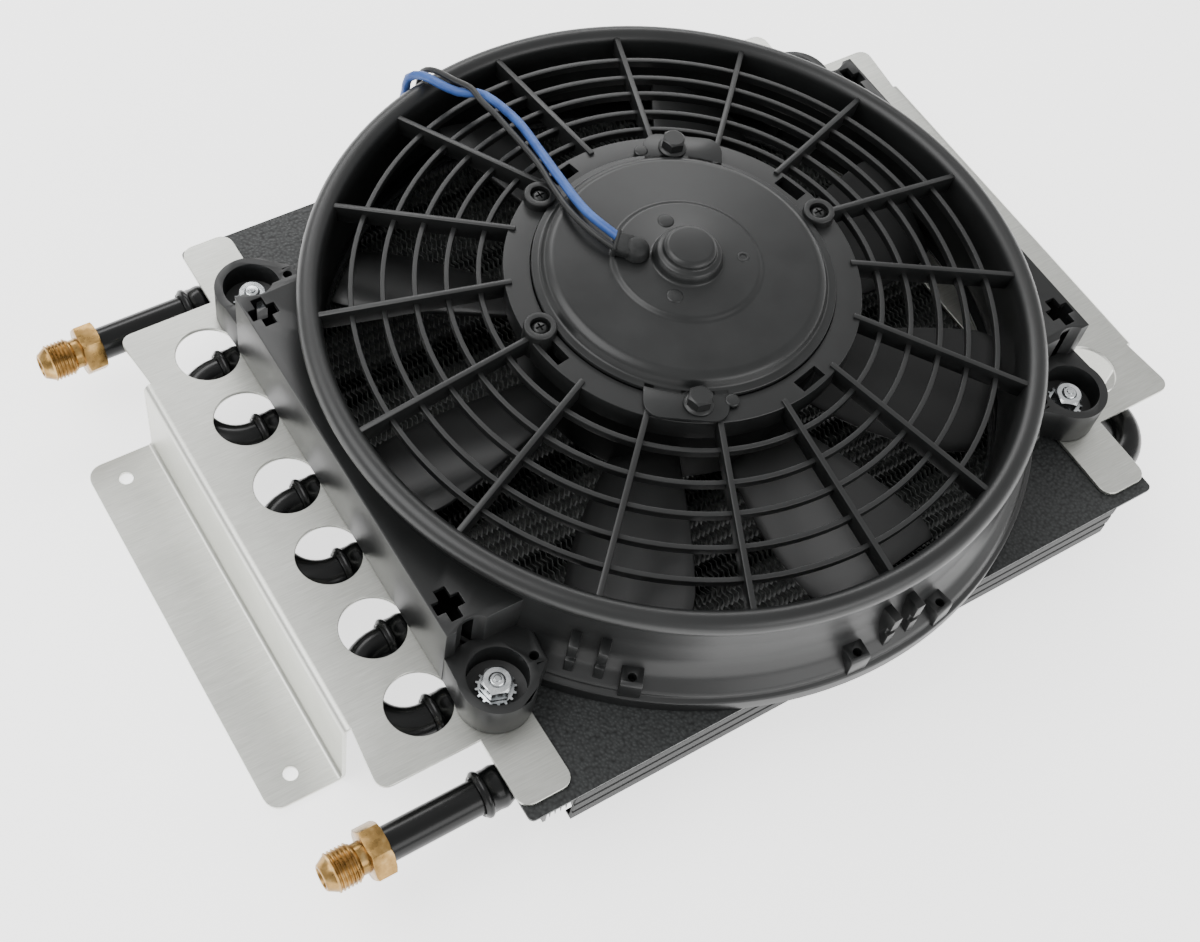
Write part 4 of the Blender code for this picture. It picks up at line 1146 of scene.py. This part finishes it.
# %% Stamp the cover
BOLT_CIRCLE, BOLT_ANGLES = 58.9, (61, 241)
cover_section = soften([(0, 111.2), (8.2, 111.2), (9.6, 110.0), (9.8, 108.2), (11.6, 107.6), (12.3, 106.0),
                        (12.8, 103.4), (26.2, 103.3), (27.8, 101.9), (48.6, 101.8), (51.2, 100.2),
                        (52.6, 97.0), (55.6, 97.0), (55.6, 95.5)], 1.2)
cover_section += [(51.4, 95.5), (49.6, 99.6), (26, 100.4), (0, 100.6)]
cover = turned("motor_end_cover", cover_section, 144)


def bolt_lobe(angle):
    lobe = block("lobe", (50.5, -15.0, 95.5), (65.4, 15.0, 97.0))
    edit(lobe)
    choose(lobe, "EDGE", lambda m: m.x > 64 and abs(abs(m.y) - 15) < 0.5 and 95.9 < m.z < 96.6)
    bpy.ops.mesh.bevel(offset=6.2 * MM, segments=6, affect="EDGES")
    done()
    return spin_on(ease_edges(lobe, 0.35, 2, 40), angle)


def rivet(spot, z, radius=3.1):
    section = [(0, z + 0.45), (radius - 0.5, z + 0.4), (radius, z), (radius, z - 1), (0, z - 1)]
    return turned("rivet", soften(section, 0.3), 32, spot)


cover_parts = [cover] + [bolt_lobe(angle - 4) for angle in BOLT_ANGLES]
cover_parts += [rivet(polar(18.3, 82), 103.4), rivet(polar(18.3, -138), 103.4)]
cover_parts += [rivet(polar(58.0, 73), 97.0, 2.7), rivet(polar(58.0, 253), 97.0, 2.7)]
eyelet_section = [(1.2, 103.1), (1.3, 103.7), (2.1, 103.7), (2.6, 103.1), (1.2, 103.1)]
cover_parts.append(turned("eyelet", soften(eyelet_section, 0.2), 24, (18.6, -8.6)))
finish(join("motor_end_cover", cover_parts), enamel, nodes=("motor_cover",), slot="dark_steel")

# %% [markdown]
# ## Bolts, screws, nuts and studs
#
# Flange bolts hold the motor; their heads have a chamfered hexagon over a round flange.  The cooler
# is held by welded studs with hexagon nuts on toothed washers, all bright zinc.  A head is a turned
# blank intersected with a hexagonal bar, which gives the curved chamfers of a real one.

# %% Make hexagon heads and nuts
def hexagon_blank(name, spot, flats, section, turn=0.0):
    """A turned blank kept only inside a hexagonal bar."""
    blank = turned(name, section, 64, spot)
    bar = rod("bar", spot, flats / 2 / math.cos(math.pi / 6), (section[0][1] - 40, section[0][1] + 40), 6)
    only(bar)
    bar.matrix_world = (Matrix.Translation(Vector((*spot, 0)) * MM) @ Matrix.Rotation(turn, 4, "Z")
                        @ Matrix.Translation(Vector((*spot, 0)) * -MM))
    settle(bar)
    apply(blank, "BOOLEAN", operation="INTERSECT", solver="EXACT", object=bar)
    bpy.data.objects.remove(bar, do_unlink=True)
    return blank


def flange_bolt(number, angle):
    spot = polar(BOLT_CIRCLE, angle)
    head_section = [(0, 102.5), (3.5, 102.5), (4.7, 101.7), (4.7, 97.8), (0, 97.8)]
    head = hexagon_blank("head", spot, 8.0, head_section, 0.3)
    flange_section = [(0, 98.5), (4.4, 98.5), (5.4, 97.8), (5.4, 97.3), (2.5, 97.3), (2.5, 87), (0, 87)]
    flange = turned("flange", soften(flange_section, 0.3), 48, spot)
    bolt = join(f"flange_bolt_hex_{number}", [flange, head])
    return finish(bolt, enamel, nodes=(f"flange_bolt_{number}",), slot="dark_steel")


for number, angle in enumerate(BOLT_ANGLES, 1):
    flange_bolt(number, angle)


def cross_screw(number, angle):
    x, y = polar(SCREW_CIRCLE, angle)
    section = [(0, 97.9), (2.0, 97.7), (3.1, 96.7), (3.1, 94.6), (1.6, 94.6), (1.6, 88), (0, 88)]
    head = turned(f"ear_screw_cross_{number}", soften(section, 0.4), 40, (x, y))
    cut(head, [block("cross", (x - 0.35, y - 1.7, 96.4), (x + 0.35, y + 1.7, 99)),
               block("cross", (x - 1.7, y - 0.35, 96.4), (x + 1.7, y + 0.35, 99))], crossing=True)
    return finish(head, enamel, nodes=(f"ear_screw_{number}",), slot="dark_steel")


for number, angle in enumerate(SCREW_ANGLES, 1):
    cross_screw(number, angle)


NUT_SECTION = [(3.0, 52.6), (4.7, 52.6), (5.9, 51.8), (5.9, 48.2), (4.9, 47.4), (3.0, 47.4), (3.0, 52.6)]
STUD_SECTION = [(0, 54.0), (1.2, 54.0), (1.3, 53.5), (2.3, 53.5), (2.9, 52.9), (2.9, 36.6), (6, 36.5),
                (6, 35.5), (0, 35.5)]
WASHER_SECTION = [(3.3, 46.15), (6.2, 46.15), (6.2, 47.0), (3.3, 47.0), (3.3, 46.15)]
TOOTH_COUNT = 16


def tooth(x, y, turn):
    made = block("tooth", (5.8, -0.6, 46.25), (7.15, 0.6, 46.95))
    edit(made)
    choose(made, "FACE", lambda m: m.x > 7)
    bpy.ops.transform.resize(value=(1, 0.55, 1))
    done()
    return spin_on(made, turn, (x, y))


def mount_set(label, x, y, turn):
    nut = hexagon_blank(f"zinc_nut_{label}", (x, y), 10.0, NUT_SECTION, turn)
    finish(nut, zinc, nodes=(f"mount_nut_{label}",), slot="zinc")
    stud = turned(f"weld_stud_{label}", soften(STUD_SECTION, 0.3), 40, (x, y))
    finish(stud, zinc, nodes=(f"mount_stud_{label}",), slot="zinc")
    ring = turned("ring", WASHER_SECTION, 40, (x, y))
    teeth = [tooth(x, y, 360 * k / TOOTH_COUNT) for k in range(TOOTH_COUNT)]
    washer = join(f"toothed_washer_{label}", [ring, *teeth])
    finish(washer, zinc, nodes=(f"lock_washer_{label}",), slot="zinc", angle=20)


for number, (side, end) in enumerate(((-1, -1), (-1, 1), (1, -1), (1, 1))):
    mount_label = ("near_" if end < 0 else "far_") + ("left" if side < 0 else "right")
    mount_set(mount_label, side * MOUNT[0], end * MOUNT[1], 0.35 * number + 0.2)

# %% [markdown]
# ## Grommet
#
# A soft rubber grommet seals the lead hole.  It has a domed top and a flat spout that grips both
# wires, so a pull on them does not reach the brushes.  The spout is a cube with rounded corners.

# %% Turn the grommet and mould its spout
GROMMET_PLACE, SPOUT_TURN = (-15.6, 10.6), 135
dome_section = [(0, 109), (2.4, 108.8), (4.6, 107.0), (5.0, 104.4), (5.2, 103.6), (0, 103.6)]
dome = turned("dome", soften(dome_section, 1.0), 48, GROMMET_PLACE)
spout = ease_edges(block("spout", (1.0, -4.5, 103.5), (8.2, 4.5, 108.0)), 1.5, 4, 40)
collar = ease_edges(block("collar", (6.6, -4.9, 103.45), (8.0, 4.9, 108.4)), 0.6, 3, 40)
spin_on(spout, SPOUT_TURN, GROMMET_PLACE)
spin_on(collar, SPOUT_TURN, GROMMET_PLACE)
grommet = join("lead_grommet_rubber", [dome, spout, collar])
finish(grommet, rubber, nodes=("wire_grommet",), slot="rubber")

# %% [markdown]
# ## Rotor
#
# Eight broad paddle blades stand on a cup that covers the motor can.  A blade is a subdivided plane,
# widened toward the tip, tilted, and twisted a little less at the tip, as the air meets it faster
# there.  Solidify makes the 2 mm wall, and a bevel rounds it.

# %% Shape a blade and the cup
BLADE_COUNT, BLADE_PHASE = 8, math.radians(3)
BLADE_ROOT, BLADE_LENGTH, BLADE_MIDDLE_Z = 56, 68, 58.5
ROOT_HALF_WIDTH, WIDENING, SWEEP, CAMBER = 13.5, 10.5, 5.5, 3.0
ROOT_PITCH, UNTWIST = 30, 6


def blade():
    """A grid whose points are placed by how far along (0 to 1) and across (-1 to 1) the blade they lie."""
    sheet = start("blade", bpy.ops.mesh.primitive_grid_add, x_subdivisions=14, y_subdivisions=12, size=1,
                  size_xyz=(BLADE_LENGTH * MM, 40.0 * MM, 1))
    for vertex in sheet.data.vertices:
        along = vertex.co.x / MM / BLADE_LENGTH + 0.5
        across = vertex.co.y / (20 * MM)
        half = ROOT_HALF_WIDTH + WIDENING * math.sin(0.5 * math.pi * min(1, along * 1.15))
        round_tip = 1 - 0.12 * max(0, along - 0.9) / 0.1 * abs(across) ** 3
        sweep = SWEEP * along ** 2
        pitch = math.radians(ROOT_PITCH - UNTWIST * along)
        width = across * half * round_tip
        camber = CAMBER * (1 - across ** 2) * (0.4 + 0.6 * along)
        side_step = width * math.cos(pitch) + sweep - camber * math.sin(pitch)
        lift = width * math.sin(pitch) + camber * math.cos(pitch) - CAMBER / 2
        vertex.co = Vector((BLADE_ROOT + BLADE_LENGTH * along, side_step, BLADE_MIDDLE_Z + lift)) * MM
    apply(sheet, "SOLIDIFY", thickness=2.0 * MM, offset=0)
    return ease_edges(sheet, 0.6, 2, 50)


first_blade = blade()
rotor_parts = [copy(first_blade, f"blade_{n}", turn=BLADE_PHASE + TAU * n / BLADE_COUNT)
               for n in range(BLADE_COUNT)]
bpy.data.objects.remove(first_blade, do_unlink=True)
cup_section = soften([(53.4, 74), (57, 74), (57, 47.5), (53, 44.5), (5, 44.5), (5, 46), (4.3, 46),
                      (4.3, 56), (9, 56), (9, 48), (52, 48), (53.4, 50), (53.4, 74)], 0.8)
rotor_parts.insert(0, turned("rotor_cup", cup_section, 96))
finish(join("fan_rotor_moulding", rotor_parts), blade_nylon, "fan", ("fan_rotor",), "black_plastic")


# %% [markdown]
# ## Remaining CAD pieces
#
# Plates and inner parts whose CAD shape is already right keep it and take a real finish.

# %% Give the CAD nodes their finish
NODE_FINISH = {"face_plate": powder_coat, "side_channel_near": channel_coat, "side_channel_far": channel_coat}
slots_of = {part["node"]: part["material_slot"] for part in frame["record"]["subparts"]}
for name, node in frame["nodes"].items():
    wanted = NODE_FINISH.get(name, SLOT_FINISH[slots_of[name]])
    for index in range(max(1, len(node.material_slots))):
        if node.material_slots:
            node.material_slots[index].material = wanted
        else:
            node.data.materials.append(wanted)
print("finished CAD nodes:", len(frame["nodes"]))
